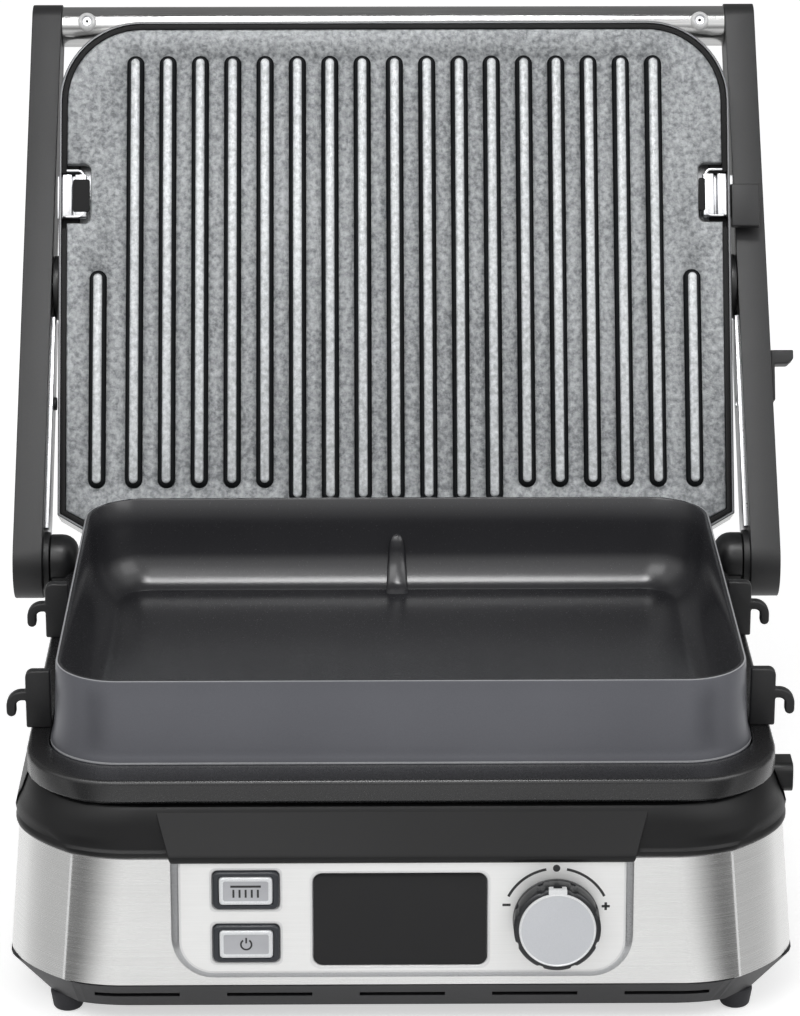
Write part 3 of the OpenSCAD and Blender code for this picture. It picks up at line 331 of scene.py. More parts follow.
# The same coat on the ribs' tops, painted almost white as a highlight.
RIB_TOP_HIGHLIGHT = Finish(
    "rib_top_painted_highlight", "#a9acae", "#e4e7e9", 0.4, Pattern.CAST, 0.15,
    grain_mm=2.4, depth_mm=0.22, spread=0.1, cloud_mm=120.0, cloud_share=0.3, contrast=0.17,
)
# Steep walls of the ribs and the groove round their feet, painted near black as shade, which outlines every
# rib.
RIB_WALL_SHADE = Finish(
    "rib_wall_painted_shade", "#15171a", "#1d1f21", 0.65, Pattern.CAST, grain_mm=1.0, depth_mm=0.03, specular=0.2,
)
# Grey pearl non-stick outside the pan: satin, with a slight metallic lift.
PAN_COAT = Finish(
    "satin_nonstick_pan", "#606167", "#696a70", 0.36, Pattern.CAST, 0.4,
    grain_mm=0.5, depth_mm=0.008, spread=0.05,
)
# The pan's non-stick inside, painted darker than outside as the shade within the pan: glossy enough for a
# long highlight on the rear fillet.
PAN_INSIDE_SHADE = Finish(
    "nonstick_interior_painted_shade", "#2b2b2e", "#313134", 0.24, Pattern.CAST, 0.0,
    grain_mm=0.7, depth_mm=0.014, spread=0.04, specular=0.6,
)
# Smooth nylon ring: glossier than the arms.
RING_NYLON = Finish(
    "smooth_moulded_nylon", "#1f1f20", "#272728", 0.27,
    grain_mm=0.6, depth_mm=0.001, spread=0.01, specular=0.6,
)
# Pan's rim and a thin line round its foot, painted light as a highlight.
PAN_EDGE_HIGHLIGHT = Finish(
    "pan_rim_painted_highlight", "#a6a7aa", "#bebfc2", 0.35, Pattern.BRUSHED, 0.15, grain_mm=0.5, depth_mm=0.004,
)
# Smoked acrylic: flat, dark and without grain.
WINDOW_PMMA = Finish(
    "smoked_window", "#18181a", "#1b1b1c", 0.12, Pattern.PLAIN,
    grain_mm=40.0, depth_mm=0.0, spread=0.01, specular=0.3,
)
# Silver paint on moulded keys: flakes too fine to see one by one.
KEY_SILVER = Finish(
    "silver_painted_key", "#b9babe", "#c2c3c7", 0.36, Pattern.MOULDED, 0.2, grain_mm=0.25, depth_mm=0.003,
)
# The keys' raised borders and the dial face's rim, painted lighter as a highlight; the same pale grey is the
# pointer's own colour.
POINTER_AND_EDGE_HIGHLIGHT = Finish(
    "pointer_pale_and_painted_edge_highlight", "#e6e8ea", "#f2f3f4", 0.3, Pattern.MOULDED, 0.1, grain_mm=0.25, depth_mm=0.002,
)
# Slate-coloured bezels round the keys.
BEZEL = Finish("slate_bezel", "#25282e", "#2b2f35", 0.34, grain_mm=0.4, depth_mm=0.004)
# Knob's dark grip: smooth moulding with a hint of metal.
KNOB_DARK = Finish("knob_skirt", "#202123", "#292a2d", 0.32, grain_mm=0.4, depth_mm=0.004, metallic=0.2)
# Satin aluminium disc on the knob.
KNOB_FACE = Finish(
    "satin_dial_face", "#c3c5c9", "#d0d2d6", 0.34, Pattern.BRUSHED, 0.75,
    grain_mm=0.3, depth_mm=0.003, spread=0.05,
)
# Screen-printed ink: flat dark grey.
PRINT = Finish("printed_marks", "#2b2b2c", "#313132", 0.5, grain_mm=0.4, depth_mm=0.0)
# Circuit boards' green lacquer.
SOLDER_MASK = Finish("green_solder_mask", "#1f4a2c", "#2a5c38", 0.4, grain_mm=1.5, depth_mm=0.01)
# Glass of an unlit display cell.
CELL = Finish("display_cell", "#2a3530", "#33403a", 0.3, grain_mm=2.0, depth_mm=0.0)
# Cream phenolic of the mains terminals.
PHENOLIC = Finish("cream_terminal_moulding", "#ddd8c8", "#e6e1d2", 0.5, grain_mm=0.8, depth_mm=0.01)


# ---------------------------------------------------------------- modelling


def arc(cx: float, cy: float, r: float, a0: float, a1: float, n: int) -> Outline:
    """Returns n + 1 points along an arc; the angles are in degrees."""
    turns = [math.radians(a0 + (a1 - a0) * i / n) for i in range(n + 1)]
    return [(cx + r * math.cos(a), cy + r * math.sin(a)) for a in turns]


def curve(a: Point, b: Point, c: Point, n: int) -> Outline:
    """Draws a quadratic curve.

    Args:
        a: Its first point.
        b: The point that it is pulled towards.
        c: Its last point.
        n: The number of steps.

    Returns:
        n + 1 points along the curve.
    """
    rows = []
    for i in range(n + 1):
        t = i / n
        wa, wb, wc = (1 - t) ** 2, 2 * t * (1 - t), t * t
        rows.append((wa * a[0] + wb * b[0] + wc * c[0], wa * a[1] + wb * b[1] + wc * c[1]))
    return rows


def with_mirror(right: Outline) -> Outline:
    """Closes a right half, listed from front to back, with its mirror image."""
    return right + [(-x, y) for x, y in reversed(right)]


def rounded(w: float, d: float, r: float, n: int = 8, x: float = 0.0, y: float = 0.0) -> Outline:
    """Draws a rectangle with round corners.

    Args:
        w: Its width.
        d: Its depth.
        r: The radius of its corners.
        n: The number of steps of each corner.
        x: Its middle across.
        y: Its middle along.

    Returns:
        The rectangle's outline.
    """
    a, b = w / 2 - r, d / 2 - r
    corners = ((a, -b, -90), (a, b, 0), (-a, b, 90), (-a, -b, 180))
    return [p for cx, cy, start in corners for p in arc(x + cx, y + cy, r, start, start + 90, n)]


def levels_at(outline: Outline, z: float) -> list[Vector]:
    """Lifts an outline to a height."""
    return [Vector((x, y, z)) for x, y in outline]


class Shape:
    """A mesh under construction, in millimetres of its own frame."""

    def __init__(self) -> None:
        """Starts empty."""
        self.bm: BMesh = bmesh.new()

    def rim(self, level: float, known: Collection[BMEdge] = ()) -> list[BMEdge]:
        """Returns the edges that lie at a height and aren't known yet."""
        fresh = (edge for edge in self.bm.edges if edge not in known)
        return [edge for edge in fresh if all(abs(v.co.z - level) < 1e-4 for v in edge.verts)]

    def ring(self, points: Sequence[Vector]) -> list[BMEdge]:
        """Adds a closed loop of edges through the points."""
        verts = [self.bm.verts.new(p) for p in points]
        return [self.bm.edges.new((verts[i - 1], verts[i])) for i in range(len(verts))]

    def loft(self, rings: Sequence[Sequence[Vector]], cap_first: bool = True, cap_last: bool = True,
             slots: Optional[Sequence[int]] = None) -> None:
        """Extrudes the first ring on to each next one.

        Args:
            rings: Closed loops with the same number of points.
            cap_first: Whether the first loop gets a face.
            cap_last: Whether the last loop gets a face.
            slots: The material slot of each band of faces.
        """
        edges = self.ring(rings[0])
        verts = [edge.verts[1] for edge in edges]
        if cap_first:
            bmesh.ops.contextual_create(self.bm, geom=edges)
        for k, target in enumerate(rings[1:]):
            made = bmesh.ops.extrude_edge_only(self.bm, edges=edges)["geom"]
            new = {v for v in made if isinstance(v, BMVert)}
            following = []
            for vert, point in zip(verts, target):
                upper = next(e.other_vert(vert) for e in vert.link_edges if e.other_vert(vert) in new)
                upper.co = point
                following.append(upper)
            if slots:
                for face in (f for f in made if isinstance(f, BMFace)):
                    face.material_index = slots[k]
            edges = [e for e in made if isinstance(e, BMEdge) and all(v in new for v in e.verts)]
            verts = following
        if cap_last:
            bmesh.ops.contextual_create(self.bm, geom=edges)

    def closed_loft(self, rings: Sequence[Sequence[Vector]]) -> None:
        """Extrudes through all rings and back on to the first, as for a hoop."""
        self.loft([*rings, rings[0]], cap_first=False, cap_last=False)
        bmesh.ops.remove_doubles(self.bm, verts=self.bm.verts, dist=0.001)

    def prism(self, outline: Outline, z0: float, z1: float, holes: Sequence[Outline] = ()) -> None:
        """Adds a plate between two heights, with through holes.

        Args:
            outline: The plate's edge.
            z0: Height of its back.
            z1: Height of its face.
            holes: The outlines of its holes.
        """
        loops = [edge for loop in (outline, *holes) for edge in self.ring(levels_at(loop, z0))]
        filled = bmesh.ops.triangle_fill(self.bm, edges=loops, use_beauty=True, use_dissolve=False)["geom"]
        base = [f for f in filled if isinstance(f, BMFace)]
        made = bmesh.ops.extrude_face_region(self.bm, geom=base, use_keep_orig=True)["geom"]
        bmesh.ops.translate(self.bm, verts=[v for v in made if isinstance(v, BMVert)], vec=(0, 0, z1 - z0))

    def lathe(self, profile: Sequence[Point], at: Point = (0, 0), n: int = 72) -> None:
        """Spins a profile about an upright axis.

        Args:
            profile: Points of (radius, height).
            at: The axis's place.
            n: The number of steps round it.
        """
        verts = [self.bm.verts.new((r, 0, z)) for r, z in profile]
        edges = [self.bm.edges.new(pair) for pair in zip(verts, verts[1:])]
        bmesh.ops.spin(
            self.bm, geom=[*verts, *edges], axis=(0, 0, 1), cent=(0, 0, 0), angle=math.tau, steps=n,
            use_merge=True,
        )
        reached = self.connected({v for e in edges for v in e.verts})
        bmesh.ops.translate(self.bm, verts=list(reached), vec=(at[0], at[1], 0))
        bmesh.ops.remove_doubles(self.bm, verts=self.bm.verts, dist=0.0005)

    @staticmethod
    def connected(seed: set[BMVert]) -> set[BMVert]:
        """Follows edges from some vertices to all that hang together with them.

        Args:
            seed: The vertices to start from.

        Returns:
            Every vertex reached, the seed's own among them.
        """
        seen, queue = set(seed), list(seed)
        while queue:
            for edge in queue.pop().link_edges:
                for vert in edge.verts:
                    if vert not in seen:
                        seen.add(vert)
                        queue.append(vert)
        return seen

    def soften(self, width: float, angle: float = 40.0, segments: int = 2) -> None:
        """Bevels the sharp edges.

        Args:
            width: How wide the rounding is.
            angle: Edges sharper than this are rounded, in degrees.
            segments: How many faces each rounding has.
        """
        bmesh.ops.recalc_face_normals(self.bm, faces=self.bm.faces)
        limit = math.radians(angle)
        sharp = [e for e in self.bm.edges if len(e.link_faces) == 2 and e.calc_face_angle(0.0) > limit]
        bmesh.ops.bevel(
            self.bm, geom=sharp, offset=width, offset_type="OFFSET", segments=segments, profile=0.5,
            affect="EDGES", material=-1, clamp_overlap=True,
        )

    def turned(self, matrix: Matrix) -> "Shape":
        """Moves everything by a matrix and returns the shape."""
        bmesh.ops.transform(self.bm, matrix=matrix, verts=self.bm.verts)
        return self

    def piece(self, name: str, body: str, matrix: Matrix, finishes: Sequence[Finish],
              replaces: Sequence[str] = (), smooth: float = 35.0) -> bpy.types.Object:
        """Turns the shape into a finished piece.

        Args:
            name: The piece's name.
            body: The body that it rides on.
            matrix: From millimetres to the frame's metres.
            finishes: One finish per material slot.
            replaces: The nodes that it stands for.
            smooth: Edges sharper than this stay crisp, in degrees.

        Returns:
            The new object.
        """
        bmesh.ops.remove_doubles(self.bm, verts=self.bm.verts, dist=0.0005)
        bmesh.ops.recalc_face_normals(self.bm, faces=self.bm.faces)
        bmesh.ops.transform(self.bm, matrix=matrix, verts=self.bm.verts)
        mesh = bpy.data.meshes.new(name)
        self.bm.to_mesh(mesh)
        self.bm.free()
        for finish in finishes:
            mesh.materials.append(finish.build())
        obj = bpy.data.objects.new(name, mesh)
        bpy.context.scene.collection.objects.link(obj)
        mesh.shade_smooth()
        mesh.set_sharp_from_angle(angle=math.radians(smooth))
        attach(obj, body)
        if replaces:
            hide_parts(*replaces)
        LOG.info("piece %s: %d faces", name, len(mesh.polygons))
        return obj


@dataclass
class Workshop:
    """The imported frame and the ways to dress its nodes."""

    nodes: dict[str, bpy.types.Object]
    body_of: dict[str, str]
    slot_of: dict[str, str]

    def paint(self, finish: Finish, *names: str) -> None:
        """Gives nodes that keep their own shape a finish.

        Args:
            finish: The finish.
            *names: The nodes' names.
        """
        for name in names:
            mesh = self.nodes[name].data
            mesh.materials.clear()
            mesh.materials.append(finish.build())
            LOG.info("node %s wears %s", name, finish.name)

    def refine(self, node: str, finish: Finish, edge_mm: float = 0.5, angle: float = 32.0,
               segments: int = 2, smooth: float = 32.0, second: Optional[Finish] = None,
               in_second: Callable[[Vector], bool] = lambda middle: False) -> bpy.types.Object:
        """Replaces a node with a copy whose edges are rounded and whose curves are smooth.

        Args:
            node: The node's name.
            finish: The finish of the copy.
            edge_mm: How wide the rounding is.
            angle: Edges sharper than this are rounded, in degrees.
            segments: How many faces each rounding has.
            smooth: Edges sharper than this stay crisp, in degrees.
            second: A second finish.
            in_second: Tells from a face's middle whether it wears the second finish.

        Returns:
            The new object.
        """
        shape = Shape()
        shape.bm.from_mesh(self.nodes[node].data)
        shape.turned(Matrix.Scale(1 / MM, 4))
        bmesh.ops.remove_doubles(shape.bm, verts=shape.bm.verts, dist=0.002)
        bmesh.ops.dissolve_degenerate(shape.bm, edges=shape.bm.edges, dist=0.002)
        bmesh.ops.dissolve_limit(
            shape.bm, angle_limit=math.radians(1.0), verts=shape.bm.verts, edges=shape.bm.edges,
            use_dissolve_boundaries=False, delimit=set(),
        )
        if edge_mm:
            shape.soften(edge_mm, angle, segments)
        if second:
            for face in shape.bm.faces:
                face.material_index = int(in_second(face.calc_center_median()))
        return shape.piece(
            node + "_finished", self.body_of[node], Matrix.Scale(MM, 4),
            [finish, second] if second else [finish], [node], smooth,
        )


# ---------------------------------------------------------------- base


def base_plan(w: float, front: float, rear: float, inset: float = 0.0) -> Outline:
    """Draws the base's plan: straight front, creased corners, slanted facets and round rear.

    Args:
        w: Its width.
        front: Its front's place.
        rear: Its rear's place.
        inset: How far it is drawn in.

    Returns:
        The outline.
    """
    x, f, r = w / 2 - inset, front + inset, rear - inset
    cx, cy, fy = w / 2 - CREASE_IN - inset * 0.9, front + inset + 5.8, front + 42
    right = [(0.0, f), (40.0, f), (80.0, f)]
    right += curve((cx - 22, f), (cx - 11, f + 0.5), (cx - 1.0, cy - 0.48), 8)
    right += curve((cx - 0.9, cy - 0.43), (cx, cy), (cx + 0.75, cy + 0.66), 4)
    right += curve((cx + 0.85, cy + 0.75), (x, cy + 18.3), (x, fy), 12)
    right += [(x, fy + 50), (x, r - 60)]
    right += arc(x - 20, r - 20, 20, 0, 90, 8)
    return with_mirror(right)


@dataclass
class Base:
    """Steel band, black housings and feet."""

    shop: Workshop
    width: float = 316.8
    front: float = -133.0
    rear: float = 131.0
    band_z: float = 20.0
    lip_z: float = 73.5
    deck_z: float = 94.5
    taper: float = 4.4
    lean: float = 4.2
    sheet: float = 1.0
    rear_split: float = 119.0
    brow_half: Point = (91.0, 97.4)

    def band_plan(self, z: float, inset: float) -> list[Vector]:
        """Draws the band at one height.

        Args:
            z: The height.
            inset: How far it is drawn in.

        Returns:
            The outline at that height.
        """
        t = (z - self.band_z) / (self.lip_z - self.band_z)
        w = self.width - 2 * self.taper * t
        return levels_at(base_plan(w, self.front + self.lean * t, self.rear - 2 * t, inset), z)

    def build_band(self) -> None:
        """Makes the pressed band, with its rolled edges and its creased corners; the creases and the top edge
        are painted light as a highlight.
        """
        shape = Shape()
        z0, z1, t = self.band_z, self.lip_z, self.sheet
        shape.closed_loft([
            self.band_plan(z0 + 0.1, t), self.band_plan(z0 + 0.1, 0.35), self.band_plan(z0 + 0.5, 0.0),
            self.band_plan(z1 - 0.5, 0.0), self.band_plan(z1 - 0.1, 0.35), self.band_plan(z1 - 0.1, t),
        ])
        geom = [*shape.bm.verts, *shape.bm.edges, *shape.bm.faces]
        cut = bmesh.ops.bisect_plane(
            shape.bm, geom=geom, plane_co=(0, self.rear_split, 0), plane_no=(0, 1, 0), clear_outer=True,
        )["geom_cut"]
        bmesh.ops.holes_fill(shape.bm, edges=[e for e in cut if isinstance(e, BMEdge)], sides=0)
        # The crease strip and the rolled top edge are painted light as a highlight.
        for face in shape.bm.faces:
            middle = face.calc_center_median()
            share = (middle.z - z0) / (z1 - z0)
            off_crease = abs(middle.x) - (self.width / 2 - self.taper * share - CREASE_IN)
            on_crease = -0.45 < off_crease < 0.55 and middle.y < self.front + 16
            face.material_index = int(on_crease or middle.z > z1 - 0.5)
        finishes = [BAND_STEEL, STEEL_EDGE_HIGHLIGHT]
        shape.piece("brushed_band", "base", ON_BASE, finishes, ["steel_band"], smooth=14)

    @staticmethod
    def blended_plan(w: float, front: float, rear: float, soft: float) -> Outline:
        """Draws the base's plan with its creases rounded away.

        Args:
            w: Its width.
            front: Its front's place.
            rear: Its rear's place.
            soft: From 0, creased, to 1, round.

        Returns:
            The outline.
        """
        sharp = base_plan(w, front, rear)
        first, last = 3, 29
        a, b, c = (w / 2 - 46.0, front), (w / 2 - 6.0, front + 3.0), (w / 2, front + 46.0)
        smooth = curve(a, b, c, last - first - 1)
        half = len(sharp) // 2
        right = list(sharp[:half])
        for i in range(first, last):
            (x0, y0), (x1, y1) = sharp[i], smooth[i - first]
            right[i] = (x0 + (x1 - x0) * soft, y0 + (y1 - y0) * soft)
        return with_mirror(right)

    def build_housing(self) -> None:
        """Makes the black shell over the band, with its rounded belt."""
        shape = Shape()
        w0 = self.width - 2 * self.taper
        f0, r0 = self.front + self.lean, self.rear - 2
        rows = [
            (self.lip_z + 0.1, w0 - 4.0, f0 + 2.0, 0.0), (self.lip_z + 0.1, w0 + 0.6, f0 - 0.2, 0.0),
            (self.lip_z + 0.6, w0 + 1.5, f0 - 1.1, 0.0), (self.lip_z + 1.8, w0 + 2.3, f0 - 2.0, 0.1),
            (self.lip_z + 3.0, w0 + 2.4, f0 - 2.0, 0.2), (self.lip_z + 3.8, w0 + 2.1, f0 - 1.3, 0.3),
            (self.lip_z + 4.4, w0 + 2.2, f0 - 1.0, 0.4), (self.lip_z + 6.5, w0 + 2.8, f0 - 1.0, 0.8),
            (self.lip_z + 9.0, w0 + 1.6, f0 - 0.6, 1.0), (self.lip_z + 13.0, w0 - 2.6, f0 + 0.1, 1.0),
            (self.deck_z - 1.0, 300.2, -127.5, 1.0), (self.deck_z, 298.4, -126.6, 1.0),
        ]
        shape.loft([levels_at(self.blended_plan(w, f, r0, soft), z) for z, w, f, soft in rows])
        shape.piece(
            "upper_shell", "base", ON_BASE, [HOUSING_BLACK], ["upper_housing"], smooth=40,
        )

    def build_brow(self) -> None:
        """Makes the visor over the controls: a bar whose face slopes back to the ring."""
        shape = Shape()
        y = self.front + self.lean
        low, wide = self.brow_half
        profile = [
            (y + 6, self.lip_z + 0.2), (y - 5.6, self.lip_z + 0.2), (y - 6.5, self.lip_z + 1.0),
            (y - 6.8, self.lip_z + 2.4), (y - 6.5, self.lip_z + 3.4), (y - 5.9, self.lip_z + 4.2),
            (-127.3, self.deck_z - 1.2), (y + 6, self.deck_z - 1.2),
        ]
        ends = []
        for side in (-1, 1):
            span = [low + (wide - low) * (z - self.lip_z) / (self.deck_z - self.lip_z) for _, z in profile]
            ends.append([Vector((side * s, py, z)) for s, (py, z) in zip(span, profile)])
        shape.loft(ends)
        shape.soften(0.5, 50, 3)
        shape.piece("control_visor", "base", ON_BASE, [HOUSING_BLACK], smooth=40)

    def build(self) -> None:
        """Builds the base."""
        self.build_band()
        self.build_housing()
        self.build_brow()
        self.shop.refine("bottom_cover", ABS_GREY, 0.5)
        self.shop.refine("rubber_feet", FOOT_RUBBER, 1.6, 50, 4)
        self.shop.refine("rear_cover", ABS_BLACK, 0.4)
        self.shop.refine("lower_release_button", ABS_BLACK, 0.9, 40, 3)
        self.shop.refine("drip_tray", ABS_BLACK, 0.6)
        self.shop.refine("cord_gland", FOOT_RUBBER, 0.4)
        self.shop.paint(ABS_BLACK, "drip_chute")
        self.shop.paint(PLAIN_STEEL, "cover_screws", "lower_reflector", "element_clips", "pan_sensor")
        self.shop.paint(ELEMENT_STEEL, "lower_element")
        self.shop.paint(SOLDER_MASK, "power_board", "control_board")
        self.shop.paint(PHENOLIC, "terminal_block")


@dataclass
class Pan:
    """Deep pan, the ring that carries it and the four hooked lugs."""

    shop: Workshop
    middle_y: float = 4.25
    width: float = 276.0
    depth: float = 224.5
    corner: float = 26.0
    seat_z: float = 98.0
    ring_top: float = 106.0
    rim_z: float = 140.0
    wall: float = 2.4
    floor_t: float = 3.0

    def outline(self, grow: float, r: float, z: float) -> list[Vector]:
        """Returns the rim's outline grown all round by grow, with corner radius r, at a height."""
        return levels_at(rounded(self.width + 2 * grow, self.depth + 2 * grow, r, 14, 0, self.middle_y), z)

    def build_pan(self) -> None:
        """Makes the pan: flared foot, near-upright wall, rim and foot line painted light as a highlight,
        inside painted darker as shade, and rounded floor.
        """
        c, z0, z1 = self.corner, self.ring_top, self.rim_z
        floor = self.seat_z + self.floor_t
        outer = [
            (1.5, c, self.seat_z), (3.0, c + 3, z0), (2.9, c + 3, z0 + 0.8), (2.2, c + 2, z0 + 2.6),
            (1.4, c + 1.4, z0 + 5.5), (0.9, c + 0.9, z0 + 12), (0.3, c + 0.3, z1 - 9), (0.0, c, z1 - 0.7),
            (-0.25, c - 0.25, z1 - 0.15), (-0.8, c - 0.8, z1),
        ]
        t = self.wall
        inner = [
            (0.5 - t, c - t + 0.5, z1), (-t, c - t, z1 - 0.6), (-t - 0.9, c - t - 0.9, z1 - 14),
            (-t - 1.5, c - t - 1.5, floor + 14), (-t - 3.1, c - t - 2.4, floor + 9.0),
            (-t - 4.7, c - t - 3.4, floor + 5.9), (-t - 7.0, c - t - 5.0, floor + 3.1),
            (-t - 10.3, c - t - 7.0, floor - 0.1), (-t - 11.8, c - t - 8.0, floor - 0.42),
            (-t - 13.4, c - t - 9.0, floor - 0.5),
        ]
        rows = [self.outline(grow, r, z) for grow, r, z in outer + inner]
        # Slot 2 paints a highlight on a thin line round the foot and on the rim; slot 1 paints the inside
        # darker as shade.
        slots = [0, 2] + [0] * (len(outer) - 4) + [2] + [1] * len(inner)
        shape = Shape()
        shape.loft(rows, slots=slots)
        at_floor = [f for f in shape.bm.faces if abs(f.calc_center_median().z - inner[-1][2]) < 0.2]
        max(at_floor, key=lambda face: face.calc_area()).material_index = 1
        coats = [PAN_COAT, PAN_INSIDE_SHADE, PAN_EDGE_HIGHLIGHT]
        shape.piece("deep_pan", "base", ON_BASE, coats, ["cooking_pan"], smooth=50)
        self.build_post()

    def build_post(self) -> None:
        """Makes the cast rib in the middle of the rear wall: tall, narrow and round-headed."""
        shape = Shape()
        wall = self.middle_y + self.depth / 2 - self.wall
        rows = [
            (4.8, 16.8, -0.6), (4.8, 14.6, 0.3), (4.7, 11.6, 1.0), (4.6, 9.9, 3.0), (4.4, 6.9, 6.3),
            (4.1, 4.6, 11.0), (3.7, 3.6, 16.0), (3.1, 3.2, 19.5), (2.2, 2.8, 21.6), (0.9, 2.3, 22.6),
        ]
        rings = []
        for half, reach, z in rows:
            right = [(half, wall + 1), (half, wall + 1 - reach), (half * 0.7, wall - reach)]
            rings.append(levels_at(with_mirror(right), self.seat_z + self.floor_t + z))
        shape.loft(rings)
        # The rib wears the inside's darker painted shade.
        shape.piece("pan_wall_rib", "base", ON_BASE, [PAN_INSIDE_SHADE], smooth=60)

    def build(self) -> None:
        """Builds the pan, the ring and the lugs."""
        self.build_pan()
        self.shop.refine("pan_ring", RING_NYLON, 1.1, 38, 4, 38)
        self.shop.refine("hook_lugs", ARM_NYLON, 0.8, 40, 3)


# ---------------------------------------------------------------- controls


@dataclass
class Controls:
    """Raised steel panel with two keys, the window and the dial."""

    shop: Workshop
    panel_half: float = 91.5
    panel_low: float = 4.0
    panel_high: float = 53.2
    corner: float = 17.0
    thick: float = 5.0
    window_at: Point = (-0.9, 29.6)
    window: Point = (68.4, 38.0)
    key_x: float = -61.6
    key_y: Point = (42.2, 20.0)
    key: Point = (21.0, 11.4)
    dial_at: Point = (60.6, 29.5)
    dial_d: float = 34.3
    dial_l: float = 13.0

    def panel_plan(self, inset: float) -> Outline:
        """Draws the panel: a U with round lower corners.

        Args:
            inset: How far it is drawn in.

        Returns:
            The outline.
        """
        w, r = self.panel_half - inset, self.corner - inset
        low = self.panel_low + inset
        right = [(0.0, low), (40.0, low), *arc(w - r, low + r, r, -90, 0, 14), (w, self.panel_high)]
        return with_mirror(right)

    def build_panel(self) -> None:
        """Makes the panel: shoulder painted darker as shade, flat face, and holes with pressed edges painted
        light as a highlight and walls painted darker as shade.
        """
        shape = Shape()
        rows = [(0.0, 0.05), (0.25, 1.6), (0.8, 2.5), (2.6, 4.1), (3.4, 4.75), (4.3, 5.0)]
        rings = [levels_at(self.panel_plan(inset), z) for inset, z in rows]
        # The shoulder is painted darker as shade, its top roll light as a highlight.
        shape.loft(rings, cap_first=False, cap_last=False, slots=[1, 1, 1, 1, 2])
        top = shape.rim(self.thick)
        bmesh.ops.contextual_create(shape.bm, geom=shape.rim(0.05))
        wx, wy = self.window_at
        holes = [rounded(self.window[0] + 0.4, self.window[1] + 0.4, 3.8, 8, wx, wy)]
        holes += [rounded(self.key[0] + 5.4, self.key[1] + 4.4, 2.1, 5, self.key_x, y) for y in self.key_y]
        holes.append(arc(*self.dial_at, 6.0, 0, 350, 35))
        edge, depth = 1.2, 3.2
        for hole in holes:
            cx = sum(x for x, _ in hole) / len(hole)
            cy = sum(y for _, y in hole) / len(hole)
            hx = max(x for x, _ in hole) - cx
            hy = max(y for _, y in hole) - cy
            loops = []
            for wider, down in ((edge, 0.0), (edge * 0.3, 0.2)):
                grown = [
                    ((x - cx) * (hx + wider) / hx + cx, (y - cy) * (hy + wider) / hy + cy) for x, y in hole
                ]
                loops.append(levels_at(grown, self.thick - down))
            loops += [levels_at(hole, self.thick - down) for down in (0.7, depth)]
            before = set(shape.bm.edges)
            # The holes' pressed edges are painted light as a highlight, their walls darker as shade.
            shape.loft(loops, cap_first=False, cap_last=True, slots=[2, 2, 1])
            top += shape.rim(self.thick, before)
        bmesh.ops.triangle_fill(shape.bm, edges=top, use_beauty=True, use_dissolve=False)
        finishes = [PANEL_FACE, PANEL_SHOULDER_SHADE, STEEL_EDGE_HIGHLIGHT]
        shape.piece("raised_panel", "base", ON_PANEL, finishes, ["control_panel"], smooth=24)

    def build_window(self) -> None:
        """Makes the smoked window with its softened edge."""
        shape = Shape()
        w, h = self.window
        x, y = self.window_at
        rows = [(0.0, 2.2), (0.0, 4.5), (0.15, 4.75), (0.5, 4.85)]
        shape.loft([levels_at(rounded(w - 2 * i, h - 2 * i, 3.6 - i, 8, x, y), z) for i, z in rows])
        shape.piece(
            "smoked_window", "base", ON_PANEL, [WINDOW_PMMA], ["display_window"], smooth=40,
        )

    def build_keys(self) -> None:
        """Makes the two bezels and the two keys, whose raised borders are painted light as a highlight."""
        kx, (kw, kh) = self.key_x, self.key
        bezel = Shape()
        for y in self.key_y:
            outer = [(0.0, 0.4), (0.0, 5.4), (0.35, 6.0), (0.9, 6.25)]
            inner = [(0.25, 6.2), (0.0, 5.9), (0.0, 0.4)]
            sizes = [(kw + 5.2 - 2 * i, kh + 4.2 - 2 * i, 2.6 - i * 0.5, z) for i, z in outer]
            sizes += [(kw + 0.5 + 2 * i, kh + 0.5 + 2 * i, 1.7, z) for i, z in inner]
            bezel.closed_loft([levels_at(rounded(w, h, r, 6, kx, y), z) for w, h, r, z in sizes])
        bezel.piece("key_bezels", "base", ON_PANEL, [BEZEL], ["key_frames"], smooth=40)
        rows = [(0.0, 1.6), (0.0, 6.2), (0.3, 6.65), (0.8, 6.8), (1.3, 6.75), (1.6, 6.5)]
        for name, body, y in zip(("upper_plate_key", "power_key"), ("plate_key", "on_key"), self.key_y):
            shape = Shape()
            sizes = [(kw - 2 * i, kh - 2 * i, max(1.5 - i * 0.4, 0.5), z) for i, z in rows]
            shape.loft([levels_at(rounded(w, h, r, 5, kx, y), z) for w, h, r, z in sizes], slots=[1] * 5)
            # Sides and borders keep the painted highlight; only the flat faces go back to silver.
            for face in shape.bm.faces:
                if len(face.verts) > 4:
                    face.material_index = 0
            finishes = [KEY_SILVER, POINTER_AND_EDGE_HIGHLIGHT]
            shape.piece(name + "_cap", body, ON_PANEL, finishes, [name], smooth=40)
        self.build_symbols()

    @staticmethod
    def stroke(shape: Shape, points: Outline, width: float, z: float, closed: bool = False) -> None:
        """Adds a printed line of even width.

        Args:
            shape: The print that the line belongs to.
            points: The middle of the line.
            width: Its width.
            z: The height of the surface under it.
            closed: Whether its ends meet.
        """
        left, right = [], []
        last = len(points) - 1
        for i, (x, y) in enumerate(points):
            a = points[i - 1] if i or closed else points[0]
            b = points[(i + 1) % len(points)] if i < last or closed else points[last]
            run = Vector((b[0] - a[0], b[1] - a[1])).normalized() * width / 2
            left.append((x - run.y, y + run.x))
            right.append((x + run.y, y - run.x))
        if closed:
            shape.prism(left, z, z + PRINT_THICK, [right])
        else:
            shape.prism(left + right[::-1], z, z + PRINT_THICK)

